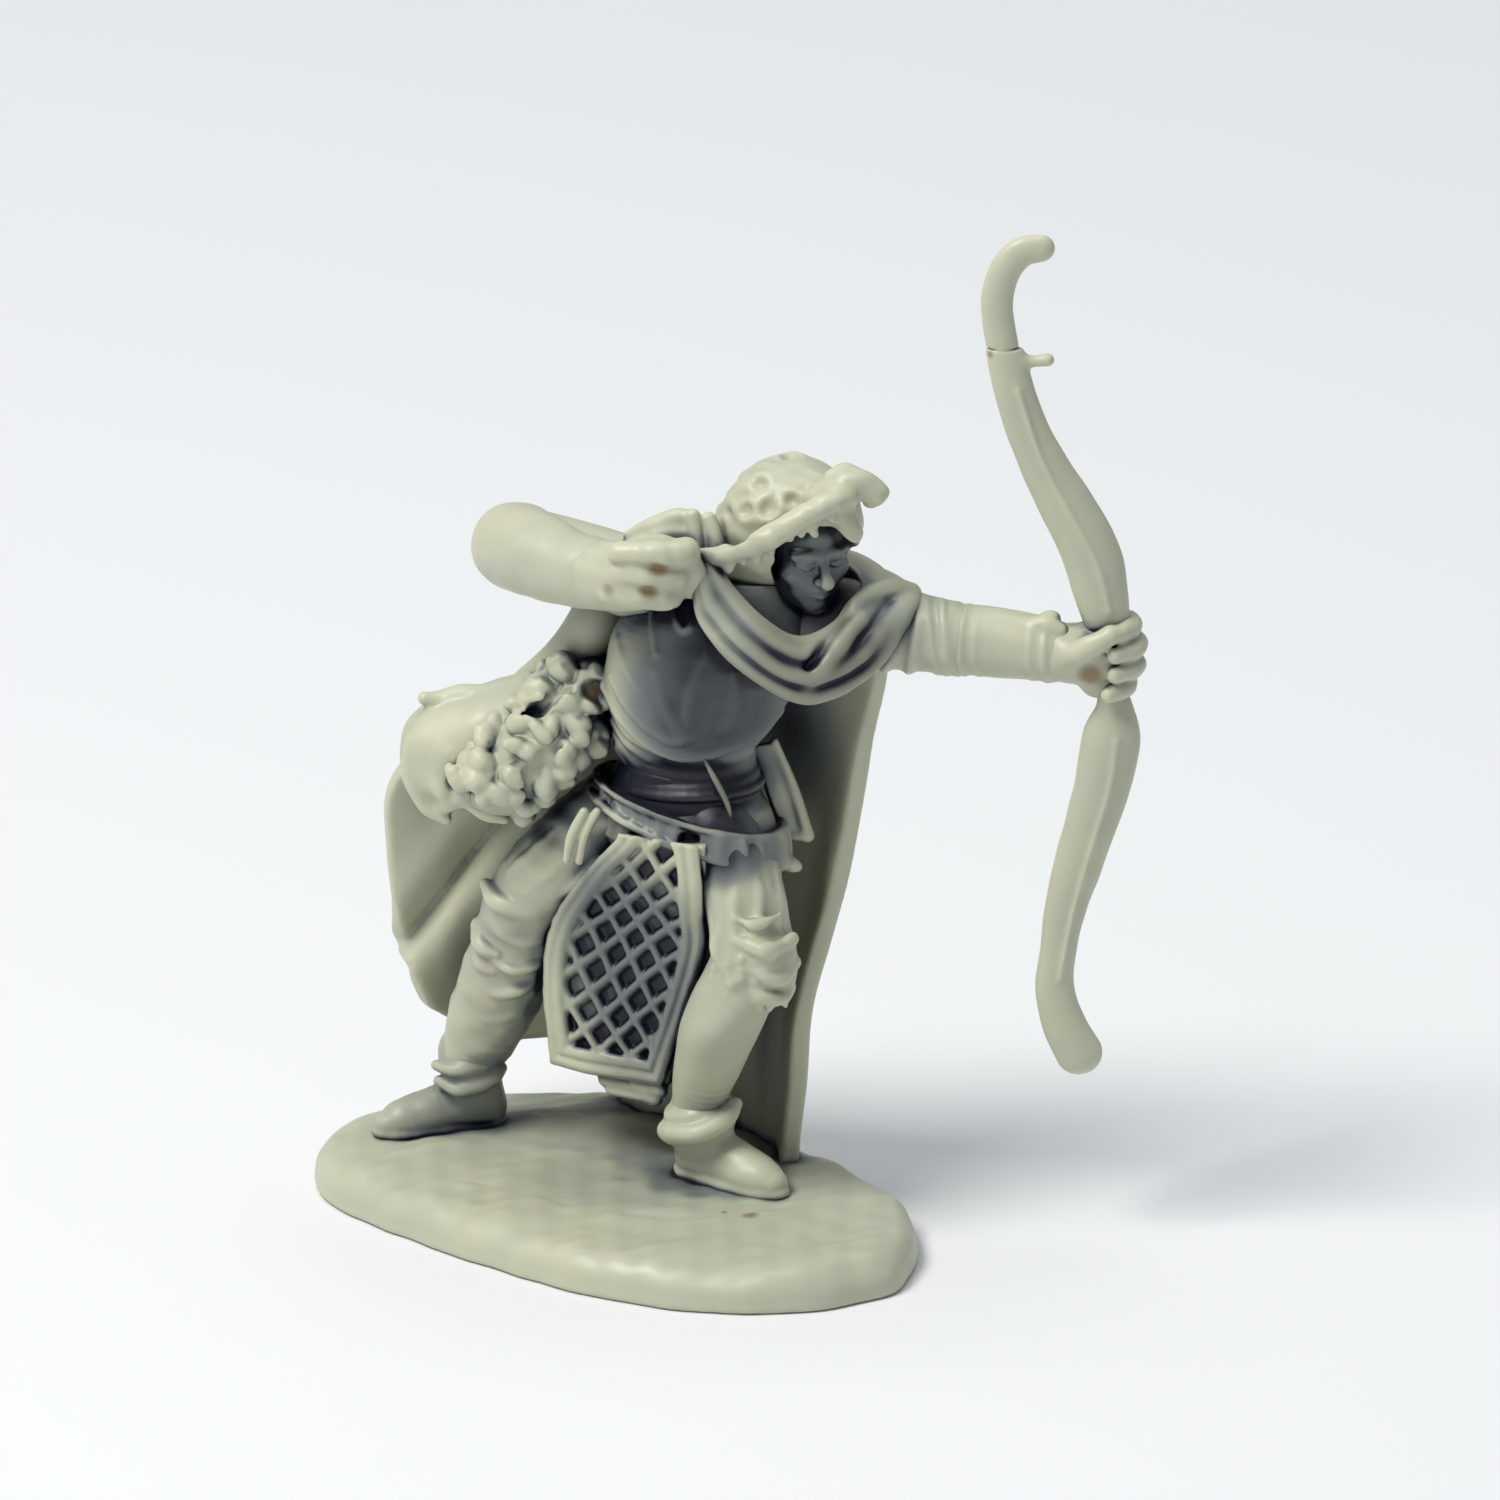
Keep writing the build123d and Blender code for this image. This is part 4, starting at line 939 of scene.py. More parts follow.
cowl.cut(rod([(7.6, -3.5, 25.2), (8.3, -3.5, 26.1), (9.0, -3.1, 27.2)], [0.08, 0.14, 0.12]), 0.3)
cowl.ruffle(0.02, 1.3, 91)

# ---------------------------------------------------------------- cloak

cloak = Clay("cloak", (0.90, 5.91, 13.90), 0.13, margin=1.7)
CLOAK = [  # height, then the inner line from the archer's left edge to the right one
    (1.0, [(7.2, 1.8), (6.8, 4.8), (4.6, 7.4), (1.6, 8.3), (-2.0, 9.0), (-6.0, 9.0)]),
    (5.0, [(7.55, 1.7), (7.1, 5.0), (4.5, 7.5), (0.8, 8.5), (-3.2, 9.1), (-7.4, 8.8)]),
    (9.0, [(8.1, 1.6), (7.6, 5.2), (4.4, 7.5), (-0.2, 8.6), (-4.8, 9.2), (-9.0, 8.5)]),
    (13.5, [(8.95, 1.6), (8.1, 4.8), (4.6, 6.9), (0.0, 7.9), (-5.0, 8.8), (-9.55, 8.0)]),
    (17.0, [(9.85, 1.7), (8.6, 4.6), (4.9, 6.3), (0.6, 7.0), (-4.4, 8.1), (-9.2, 7.5)]),
    (20.5, [(10.6, 1.8), (8.9, 4.2), (5.3, 5.4), (1.6, 5.8), (-2.4, 6.5), (-5.6, 6.6)]),
    (24.0, [(11.1, 1.9), (8.9, 3.5), (6.0, 4.0), (3.4, 4.1), (0.7, 4.1), (-1.9, 4.6)]),
    (27.0, [(10.6, 1.4), (8.7, 2.6), (6.7, 3.0), (4.7, 3.0), (2.6, 3.0), (0.6, 3.2)]),
]


def cloak_grid(n=210, m=260):
    """The cloak before its folds, as a grid from the archer's left edge to the right one and upwards."""
    rows = []
    for height, line in CLOAK:
        curve = smooth_line([v(x, y, height) for x, y in line], fine=12)
        t = np.linspace(0, len(curve) - 1, n)
        rows.append(np.stack([np.interp(t, np.arange(len(curve)), curve[:, i]) for i in range(3)], 1))
    out = smooth_line(np.array(rows).reshape(len(rows), -1), fine=10).reshape(-1, n, 3)
    t = np.linspace(0, len(out) - 1, m)
    low = np.floor(t).astype(int).clip(0, len(out) - 2)
    grid = out[low] + (out[low + 1] - out[low]) * (t - low)[:, None, None]
    return grid.transpose(1, 0, 2)


grid = cloak_grid()
normal = np.cross(np.gradient(grid, axis=0), np.gradient(grid, axis=1))
normal /= np.linalg.norm(normal, axis=2, keepdims=True)
u = np.linspace(0, 1, grid.shape[0])[:, None]
x, z = grid[..., 0], grid[..., 2]
low_part = np.clip((24 - z) / 14, 0, 1) * smooth(u, 0.16, 0.4)
broad_folds = 0.5 * np.sin(2 * math.pi * (3.4 * u + 0.2 + 0.02 * (z - 10)))
fine_folds = 0.2 * np.sin(2 * math.pi * (7.3 * u + 0.4 - 0.03 * z))
folds = low_part * (broad_folds + fine_folds)
folds = folds + 0.16 * np.sin(0.55 * z + 3 * u) * smooth(z, 2, 8) * (1 - smooth(u, 0.15, 0.4))
left_part = smooth(-x, 0.5, 3.5)
# One fold runs from the bundle down to the left edge, and the cloth below it stands forward.
fold_z = 13.5 + 1.30 * (x + 4.9)
step = smooth(fold_z - z, -0.35, 0.25) * (1 - 0.75 * smooth(fold_z - z, 0.6, 5.0))
folds = folds * (1 - 0.7 * left_part) - 0.85 * step * left_part
folds = folds + 0.5 * np.exp(-(((z - fold_z - 0.8) / 0.75) ** 2)) * left_part
folds = folds - 0.35 * np.exp(-(((z - fold_z - 3.2) / 1.5) ** 2)) * left_part
grid = grid + normal * folds[..., None]
cloak.sheet(grid, 0.8, 0)
# The ragged hem, from the left
HEM_X = [-14, -9.6, -8.6, -7.6, -6.6, -4.6, -2.7, -0.8, -0.2, 0.5, 14]
HEM_Z = [9.5, 7.6, 6.6, 6.2, 5.4, 4.6, 4.9, 3.9, 2.9, 1.0, 1.0]
cloak.keep(lambda x, y, z: 0.8 * (np.interp(x, HEM_X, HEM_Z) - z), 0.25)
cloak.cut(slab((0, 6, GROUND - 1.85), (16, 12, 1.0), rounding=0.02), 0.02)
cloak.line(
    [(-0.5, 3.7, 26.2), (-0.9, 3.5, 24.9), (-2.2, 4.2, 23.2), (-3.6, 5.0, 22.0)], [1.0, 1.15, 0.9, 0.6], 0.5
)
cloak.ruffle(0.03, 2.4, 92)

# ---------------------------------------------------------------- the arm that holds the bow

bow_arm = Clay("bow_arm", (11.37, 0.40, 25.95), 0.065, margin=1.3)
bow_arm.line(
    [(8.6, 1.0, 26.0), (10.6, 0.5, 26.1), (12.5, -0.1, 25.95), (14.1, -0.5, 25.8)], [1.9, 1.8, 1.62, 1.5], 0
)
bow_arm.join(ring(v(14.15, -0.48, 25.8), 1.36, 0.2, turn_to(UP, v(1, -0.25, 0.1))), 0.12)
for x, lean, size in ((11.6, 0.5, 0.15), (12.4, 0.3, 0.13), (13.1, -0.25, 0.1), (13.6, -0.1, 0.08)):
    c = v(x, 0.2 - (x - 11.5) * 0.27, 25.9)
    arc = [
        c + v(lean * math.sin(a), -1.62 * math.cos(a) * 0.98, 1.58 * math.sin(a))
        for a in np.linspace(-1.6, 1.6, 8)
    ]
    bow_arm.line(arc, [0.03, size, size, size, size, size, size, 0.03], 0.3, fine=2)
bow_arm.ruffle(0.035, 1.8, 93)

bow_bracer = Clay("bow_bracer", (16.36, -0.68, 25.80), 0.065, margin=1.0)
bow_bracer.line(
    [(14.2, -0.48, 25.75), (15.6, -0.7, 25.75), (17.0, -1.0, 25.65), (18.0, -1.2, 25.55)],
    [1.46, 1.45, 1.38, 1.3],
    0,
)
for x, wide, thick in ((14.5, 1.37, 0.16), (15.1, 1.36, 0.08), (17.3, 1.24, 0.12), (17.9, 1.2, 0.16)):
    middle = v(x, -0.5 - (x - 14.2) * 0.19, 25.76 - (x - 14.2) * 0.05)
    bow_bracer.join(ring(middle, wide, thick, turn_to(UP, v(1, -0.2, 0))), 0.12)
bow_bracer.line([(16.9, -1.3, 26.75), (17.7, -1.6, 26.85), (18.4, -1.8, 26.65)], [0.2, 0.36, 0.25], 0.3)
bow_bracer.join(egg((17.9, -1.2, 27.0), (0.45, 0.4, 0.28)), 0.2)
bow_bracer.ruffle(0.035, 1.5, 33)

# ---------------------------------------------------------------- bow hand

bow_hand = Clay("bow_hand", (20.27, -1.58, 25.50), 0.05, margin=1.0)
bow_hand.line([(18.2, -1.3, 25.5), (18.9, -1.4, 25.5), (19.8, -1.3, 25.35)], [1.2, 1.25, 1.3], 0)
bow_hand.join(egg((20.0, -1.3, 25.35), (1.2, 1.05, 1.85)), 0.3)
for i, z in enumerate((26.75, 25.9, 25.05, 24.2)):
    out = (0.75, 1.0, 0.95, 0.6)[i]
    knuckle = v(20.4 + out, -1.15, z + 0.02)
    tip = v(20.0 + out * 0.6, -2.55, z - 0.1)
    bow_hand.line(
        [(20.0, -0.6, z), knuckle, (20.35 + out, -1.9, z - 0.05), tip],
        [0.42, 0.48, 0.46, 0.36],
        0.12,
        fine=3,
    )
    bow_hand.join(ball(knuckle + v(-0.02, -0.05, 0.02), 0.48), 0.08)
bow_hand.line(
    [(18.5, -2.0, 25.6), (19.2, -2.45, 25.95), (19.9, -2.6, 26.4), (20.4, -2.5, 26.7)],
    [0.6, 0.55, 0.46, 0.38],
    0.2,
)
bow_hand.cut(rod([(19.3, -3.1, 25.1), (19.7, -3.0, 24.4)], [0.2, 0.25]), 0.3)
bow_hand.ruffle(0.03, 0.9, 94)
bow_hand.stain_and_shade((19.6, -2.6, 24.9), 0.75)
bow_hand.stain_and_shade((19.2, -2.4, 25.9), 0.4)

# ---------------------------------------------------------------- the bow

BOW_Y, BOW_DEPTH = -1.6, 0.62
TIP_SEAM = 38.9  # height of the glued seam below the upper tip
# Stations down the middle of the stave: x, z and half width
UPPER = [
    (20.5, 25.2, 0.62), (20.3, 26.8, 0.9), (20.0, 28.4, 1.16), (19.55, 30.1, 1.22), (18.66, 31.9, 1.14),
    (17.75, 33.6, 1.0), (16.95, 35.4, 0.88), (16.4, 37.2, 0.84), (16.0, 38.9, 0.76),
]
TIP = [
    (16.0, 38.6, 0.7), (15.78, 40.0, 0.66), (15.74, 41.2, 0.66), (16.1, 42.35, 0.66), (16.75, 43.05, 0.62),
    (17.5, 43.2, 0.58),
]
LOWER = [
    (20.45, 26.0, 0.55), (20.5, 24.2, 0.6), (20.6, 23.1, 0.8), (20.5, 22.0, 1.18), (20.35, 21.1, 1.22),
    (20.08, 19.6, 1.16), (19.57, 17.8, 1.08), (19.07, 16.1, 1.0), (18.6, 14.3, 0.86), (18.33, 12.5, 0.76),
    (18.2, 10.8, 0.82), (18.6, 9.2, 0.92), (19.2, 8.05, 0.98),
]


def stave(points):
    return rod(
        [v(x, BOW_Y, z) for x, z, _ in points], [wide for _, _, wide in points], BOW_DEPTH, v(0, 1, 0)
    )


bow_upper_limb = Clay("bow_upper_limb", (18.26, -1.60, 32.33), 0.065, margin=0.9)
bow_upper_limb.join(stave(UPPER), 0)
bow_upper_limb.line([(16.5, -1.6, 38.35), (17.2, -1.6, 38.3), (17.8, -1.6, 38.35)], [0.3, 0.24, 0.27], 0.3)
bow_upper_limb.keep(lambda x, y, z: z - TIP_SEAM + 0.02, 0.08)
bow_upper_limb.line(
    [
        (20.4, -2.25, 27.6), (19.9, -2.32, 29.6), (18.8, -2.3, 31.8), (17.5, -2.22, 34.4),
        (16.6, -2.12, 37.2),
    ],
    0.08,
    0.25,
)
bow_upper_limb.ruffle(0.022, 2.0, 40)
bow_upper_limb.stain_and_shade((15.35, -2.0, 38.7), 0.3)

bow_upper_tip = Clay("bow_upper_tip", (16.55, -1.60, 40.92), 0.06, margin=0.9)
bow_upper_tip.join(stave(TIP), 0)
bow_upper_tip.keep(lambda x, y, z: TIP_SEAM - z, 0.1)
bow_upper_tip.line([(15.95, -1.6, 39.4), (15.95, -1.6, 38.3)], 0.42, 0)
bow_upper_tip.cut(ball((15.2, -2.1, 38.95), 0.16), 0.1)
bow_upper_tip.ruffle(0.022, 1.5, 41)

bow_lower_limb = Clay("bow_lower_limb", (19.53, -1.60, 16.25), 0.065, margin=0.9)
bow_lower_limb.join(stave(LOWER), 0)
bow_lower_limb.line(
    [(20.7, -2.3, 22.0), (20.4, -2.34, 19.8), (19.7, -2.3, 17.3), (18.9, -2.2, 14.2), (18.4, -2.1, 11.4)],
    0.08,
    0.25,
)
bow_lower_limb.ruffle(0.022, 2.0, 42)

# ---------------------------------------------------------------- the arm that draws

ELBOW, WRIST = v(-3.9, 3.1, 28.5), v(-0.3, -1.4, 28.85)
draw_upper_arm = Clay("draw_upper_arm", (-1.60, 2.46, 28.13), 0.075)
draw_upper_arm.line([(1.6, 1.6, 27.4), (-1.2, 2.4, 28.1), ELBOW], [1.7, 1.65, 1.75], 0)
draw_upper_arm.ruffle(0.03, 2.2, 50)

draw_forearm = Clay("draw_forearm", (-2.30, 0.67, 28.64), 0.065)
draw_forearm.line(
    [ELBOW + v(-0.15, 0.0, 0.1), (-3.2, 1.3, 28.85), (-1.9, -0.1, 28.8), WRIST], [1.85, 1.78, 1.6, 1.42], 0
)
draw_forearm.line([(-1.5, -1.5, 27.9), (-0.7, -2.2, 28.3), (-0.2, -2.5, 29.0)], [0.1, 0.2, 0.12], 0.3)
draw_forearm.ruffle(0.04, 2.2, 51)

draw_hand = Clay("draw_hand", (1.35, -1.93, 29.08), 0.05, margin=1.9)
draw_hand.line([WRIST + v(-0.4, 0.3, 0), (0.5, -2.0, 29.1), (1.3, -2.4, 29.4)], [1.45, 1.45, 1.4], 0)
draw_hand.join(egg((1.6, -2.4, 29.45), (1.75, 1.0, 1.6), turn_to((1, 0, 0.15), (0, 0, 1))), 0.3)
for i in range(3):
    z = 30.35 - i * 0.92
    start = v(0.2 - 0.15 * i, -3.0 + 0.1 * i, z + 0.1)
    finish = v(2.9 - 0.35 * i, -3.05 + 0.1 * i, z + 0.08 - 0.06 * i)
    draw_hand.line(
        [start, between(start, finish, 0.5) + v(0, -0.28, 0.08), finish, finish + v(0.15, 0.7, -0.05)],
        [0.46, 0.56, 0.54, 0.5],
        0.22,
        fine=3,
    )
# Slots in the fist, with painted brown shade in them.
for i, x in enumerate((1.75, 1.3)):
    z = 29.97 - i * 0.95
    draw_hand.cut(
        rod(
            [(x - 0.75, -3.75, z + 0.2), (x, -3.8, z + 0.02), (x + 0.7, -3.75, z - 0.12)], [0.1, 0.24, 0.16]
        ),
        0.2,
    )
    draw_hand.stain_and_shade((x + 0.1, -3.4, z), 0.62)
draw_hand.line([(2.7, -2.6, 30.4), (3.3, -2.5, 29.5), (3.2, -2.3, 28.6)], [0.4, 0.5, 0.4], 0.3)
draw_hand.ruffle(0.035, 1.0, 95)
draw_hand.stain_and_shade((-0.1, -3.0, 28.9), 0.5)

# ---------------------------------------------------------------- bedroll and pelt

bedroll = Clay("bedroll", (-4.43, 4.54, 19.75), 0.07, margin=1.3)
bedroll.line(
    [(-6.6, 4.6, 19.1), (-5.0, 4.4, 19.6), (-2.8, 4.2, 20.7), (-1.0, 4.1, 21.7)], [2.3, 2.35, 2.1, 1.5], 0
)
bedroll.join(egg((-7.0, 4.2, 18.7), (1.7, 1.9, 2.2)), 0.5)
bedroll.line(
    [(-7.5, 4.6, 21.25), (-6.5, 4.5, 21.5), (-5.2, 4.3, 21.6), (-4.0, 4.2, 21.9)],
    [0.34, 0.45, 0.55, 0.5],
    0.25,
)
bedroll.line([(-7.9, 4.3, 21.45), (-7.2, 4.4, 21.2)], [0.25, 0.35], 0.2)
for path, wide in (
    ([(-6.7, 2.5, 19.6), (-6.1, 2.2, 18.7), (-6.4, 2.3, 17.8), (-7.1, 2.6, 17.3)], [0.2, 0.4, 0.4, 0.25]),
    ([(-7.6, 2.8, 18.9), (-7.2, 2.4, 18.2), (-6.9, 2.4, 17.6)], [0.2, 0.34, 0.3]),
    ([(-6.0, 2.3, 17.5), (-5.2, 2.2, 17.2), (-4.6, 2.3, 16.9)], [0.3, 0.4, 0.3]),
    ([(-8.5, 3.6, 19.8), (-8.6, 3.3, 18.6), (-8.0, 3.0, 17.3), (-7.0, 2.9, 16.6)], [0.2, 0.3, 0.3, 0.2]),
):
    bedroll.line(path, wide, 0.35)
bedroll.ruffle(0.07, 1.9, 61)

fur_pelt = Clay("fur_pelt", (-2.83, 2.36, 20.50), 0.055, margin=1.5)
fur_pelt.line(
    [(-5.0, 3.0, 18.2), (-3.7, 2.7, 19.4), (-2.3, 2.6, 21.2), (-1.1, 2.8, 23.0)], [1.5, 1.75, 1.6, 0.9], 0
)
fur_pelt.line([(-4.9, 3.3, 19.9), (-3.9, 3.1, 21.4), (-2.4, 3.0, 22.9)], [0.75, 0.8, 0.7], 0.3)
rng = np.random.default_rng(9)
spine = smooth_line([(-5.2, 2.9, 18.1), (-3.8, 2.6, 19.4), (-2.3, 2.5, 21.2), (-1.2, 2.7, 22.9)], fine=14)
RUN = unit(v(0.62, 0, 0.78))
ACROSS = unit(np.cross(RUN, v(0, 1, 0)))
for i in range(64):  # locks of the shaggy pelt
    c = spine[rng.integers(0, len(spine))]
    a = rng.uniform(-3.0, 0.35)
    out = ACROSS * math.cos(a) + v(0, 1, 0) * math.sin(a)
    wide = 1.62 - 0.5 * max(0.0, (c[2] - 21.2) / 2.0)
    p = c + out * wide * rng.uniform(0.85, 1.05)
    flow = -ACROSS * rng.uniform(-0.3, 0.5) + ACROSS * rng.uniform(0.3, 1.2) * math.cos(a)
    flow = unit(flow - RUN * rng.uniform(-0.2, 0.9) + out * rng.uniform(0.1, 0.5))
    long, fat = rng.uniform(0.3, 0.75), rng.uniform(0.38, 0.6)
    bend = unit(np.cross(out, flow)) * rng.uniform(-0.35, 0.35)
    fur_pelt.line(
        [p - flow * 0.2, p + flow * long * 0.5 + bend, p + flow * long],
        [fat * 0.8, fat, fat * 0.7],
        0.1,
        fine=3,
    )
for turn in np.linspace(0, 2 * math.pi, 9)[:-1]:
    p = v(-0.75, 1.65, 22.85) + v(math.cos(turn) * 0.62, 0, math.sin(turn) * 0.72)
    fur_pelt.join(egg(p, (0.42, 0.42, 0.42)), 0.15)
fur_pelt.join(egg((-0.75, 2.0, 22.85), (0.7, 0.45, 0.8)), 0.2)
fur_pelt.cut(ball((-0.85, 1.2, 22.9), 0.42), 0.3)
fur_pelt.stain_and_shade((-0.85, 1.4, 22.8), 0.5)
fur_pelt.cut(rod([(-1.9, 1.3, 22.9), (-3.0, 1.3, 22.2), (-3.8, 1.6, 21.4)], [0.12, 0.3, 0.24]), 0.3)
fur_pelt.cut(rod([(-2.3, 0.7, 20.7), (-3.2, 0.6, 19.9), (-3.9, 0.8, 19.0)], [0.12, 0.26, 0.16]), 0.3)
fur_pelt.ruffle(0.05, 0.8, 10)

# ---------------------------------------------------------------- how crowded each place is

# All the clay is poured into one room, a coarser grid of how full each place is.
ROOM_STEP = 0.2 * 1.0
room_low = np.array(CAD_LOW) * 1000 - 3
room_size = np.ceil((np.array(CAD_HIGH) * 1000 + 3 - room_low) / ROOM_STEP).astype(int)
room = np.zeros(room_size, np.float32)
for clay in Clay.made:
    low = np.maximum(np.ceil((clay.low + clay.shift - room_low) / ROOM_STEP).astype(int), 0)
    clay_high = clay.low + clay.shift + clay.step * (clay.size - 1)
    high = np.minimum(((clay_high - room_low) / ROOM_STEP).astype(int), room_size)
    pick = []
    for i in range(3):
        places = room_low[i] + ROOM_STEP * np.arange(low[i], high[i]) - clay.low[i] - clay.shift[i]
        pick.append(np.round(places / clay.step).astype(int).clip(0, clay.size[i] - 1))
    part = clay.d[np.ix_(*pick)]
    where = tuple(slice(low[i], high[i]) for i in range(3))
    room[where] = np.maximum(room[where], np.clip(0.5 - part / ROOM_STEP, 0, 1))


def blurred(field, radius):
    """The field averaged over radius mm, twice along each axis."""
    n = max(1, int(round(radius / ROOM_STEP)))
    for _ in range(2):
        for axis in range(3):
            pad = [(0, 0)] * 3
            pad[axis] = (n + 1, n)
            total = np.cumsum(np.pad(field, pad, mode="edge"), axis=axis, dtype=np.float32)
            a = [slice(None)] * 3
            b = [slice(None)] * 3
            a[axis], b[axis] = slice(2 * n + 1, None), slice(0, -2 * n - 1)
            field = (total[tuple(a)] - total[tuple(b)]) / (2 * n + 1)
    return field


CROWD = blurred(room, 0.45)
# How far along its cone each fog is met, and the fog
FOGS = [
    (0.6, room), (1.1, blurred(room, 0.2)), (2.0, blurred(room, 0.45)), (3.8, blurred(room, 0.9)),
    (7.0, blurred(room, 1.8)),
]


def sample(field, places):
    """The field at places in mm, between its grid points."""
    q = (places - room_low) / ROOM_STEP
    i = np.floor(q).astype(int)
    f = q - i
    i = np.clip(i, 0, np.array(field.shape) - 2)
    total = 0
    for dx in (0, 1):
        for dy in (0, 1):
            for dz in (0, 1):
                weight = np.abs(1 - dx - f[:, 0]) * np.abs(1 - dy - f[:, 1]) * np.abs(1 - dz - f[:, 2])
                total = total + weight * field[i[:, 0] + dx, i[:, 1] + dy, i[:, 2] + dz]
    return total


def openness(places, normals):
    """How open each place is, 0 to 1, from six cones marched out of the surface through the fogs."""
    helper = np.where(np.abs(normals[:, 2:]) < 0.9, UP, v(1, 0, 0))
    side = np.cross(normals, helper)
    side /= np.linalg.norm(side, axis=1, keepdims=True)
    other = np.cross(normals, side)
    total = 0
    for k in range(6):
        if k == 0:
            cone, weight = normals, 0.25
        else:
            turn = 2 * math.pi * k / 5
            cone = normals * 0.6 + (side * math.cos(turn) + other * math.sin(turn)) * 0.8
            weight = 0.15
        clear = np.ones(len(places))
        for far, fog in FOGS:
            clear = clear * (1 - np.clip(1.3 * sample(fog, places + normals * 0.2 + cone * far), 0, 1))
        total = total + weight * clear
    return total


FRONT = ("torso", "breastplate", "waist_sash", "tunic_skirt", "hips", "side_flap")
# Soft shade painted into the colour where the light from above hardly reaches: middle, radii, depth and
# which pieces
PAINTED_GLOOM = [
    ((4.2, -1.5, 23.4), (4.9, 4.5, 5.0), 0.85, FRONT),
    ((3.2, -0.2, 19.1), (4.8, 4.0, 2.1), 1.0, FRONT),
    ((4.0, -1.8, 16.8), (6.0, 4.5, 2.4), 0.55, FRONT),
    ((0.5, 0.2, 11.0), (4.8, 4.5, 7.8), 0.6, ("scale_tabard",)),
    ((-3.5, 5.0, 9.0), (6.0, 5.0, 8.0), 0.22, ("right_leg",)),
    ((-7.0, 6.0, 3.0), (5.0, 5.0, 4.0), 0.35, ("right_boot",)),
    ((4.6, -0.7, 11.0), (5.0, 6.0, 8.0), 0.16, ("left_leg",)),
    ((11.5, 0.0, 25.4), (5.5, 4.0, 3.5), 0.18, ("bow_arm", "bow_bracer")),
    ((0.0, 0.0, 1.8), (6.0, 5.0, 1.5), 0.25, ("base",)),
    ((5.6, -2.7, 30.5), (3.2, 1.3, 1.3), 0.25, ("hood",)),
    ((4.0, -1.5, 17.4), (3.5, 4.0, 2.4), 0.9, ("left_leg",)),
    ((8.5, -3.0, 25.8), (5.8, 4.2, 3.7), 0.95, ("cowl",)),
    ((4.6, -2.6, 28.0), (2.0, 2.0, 2.0), 0.5, ("cowl",)),
    ((10.0, -1.5, 27.5), (1.1, 1.3, 0.8), 0.9, ("cowl", "bow_arm", "torso")),
    ((8.2, -2.4, 29.4), (5.0, 5.0, 5.0), 0.6, ("head",)),
    ((8.2, -2.2, 29.0), (2.4, 2.4, 2.0), 0.1, ("hood",)),
    ((7.0, 2.4, 19.8), (2.5, 4.0, 5.5), 0.9, ("cloak",)),
    ((5.4, 4.5, 7.0), (2.8, 4.0, 6.5), 0.45, ("cloak",)),
    ((-1.6, 3.4, 19.8), (2.2, 3.0, 3.2), 0.9, ("cloak", "torso", "hips", "waist_sash")),
    ((-1.0, 3.2, 15.8), (3.4, 3.0, 2.0), 0.25, ("right_leg", "cloak", "hips")),
]


def painted_gloom(node, places):
    """Depth of the painted soft shade at each place on a piece."""
    total = np.zeros(len(places))
    for middle, radii, depth, pieces in PAINTED_GLOOM:
        if node in pieces:
            far = np.linalg.norm((places - np.array(middle)) / np.array(radii), axis=1)
            total = np.maximum(total, depth * (1 - smooth(far, 0.35, 1.15)))
    return total


# ---------------------------------------------------------------- material


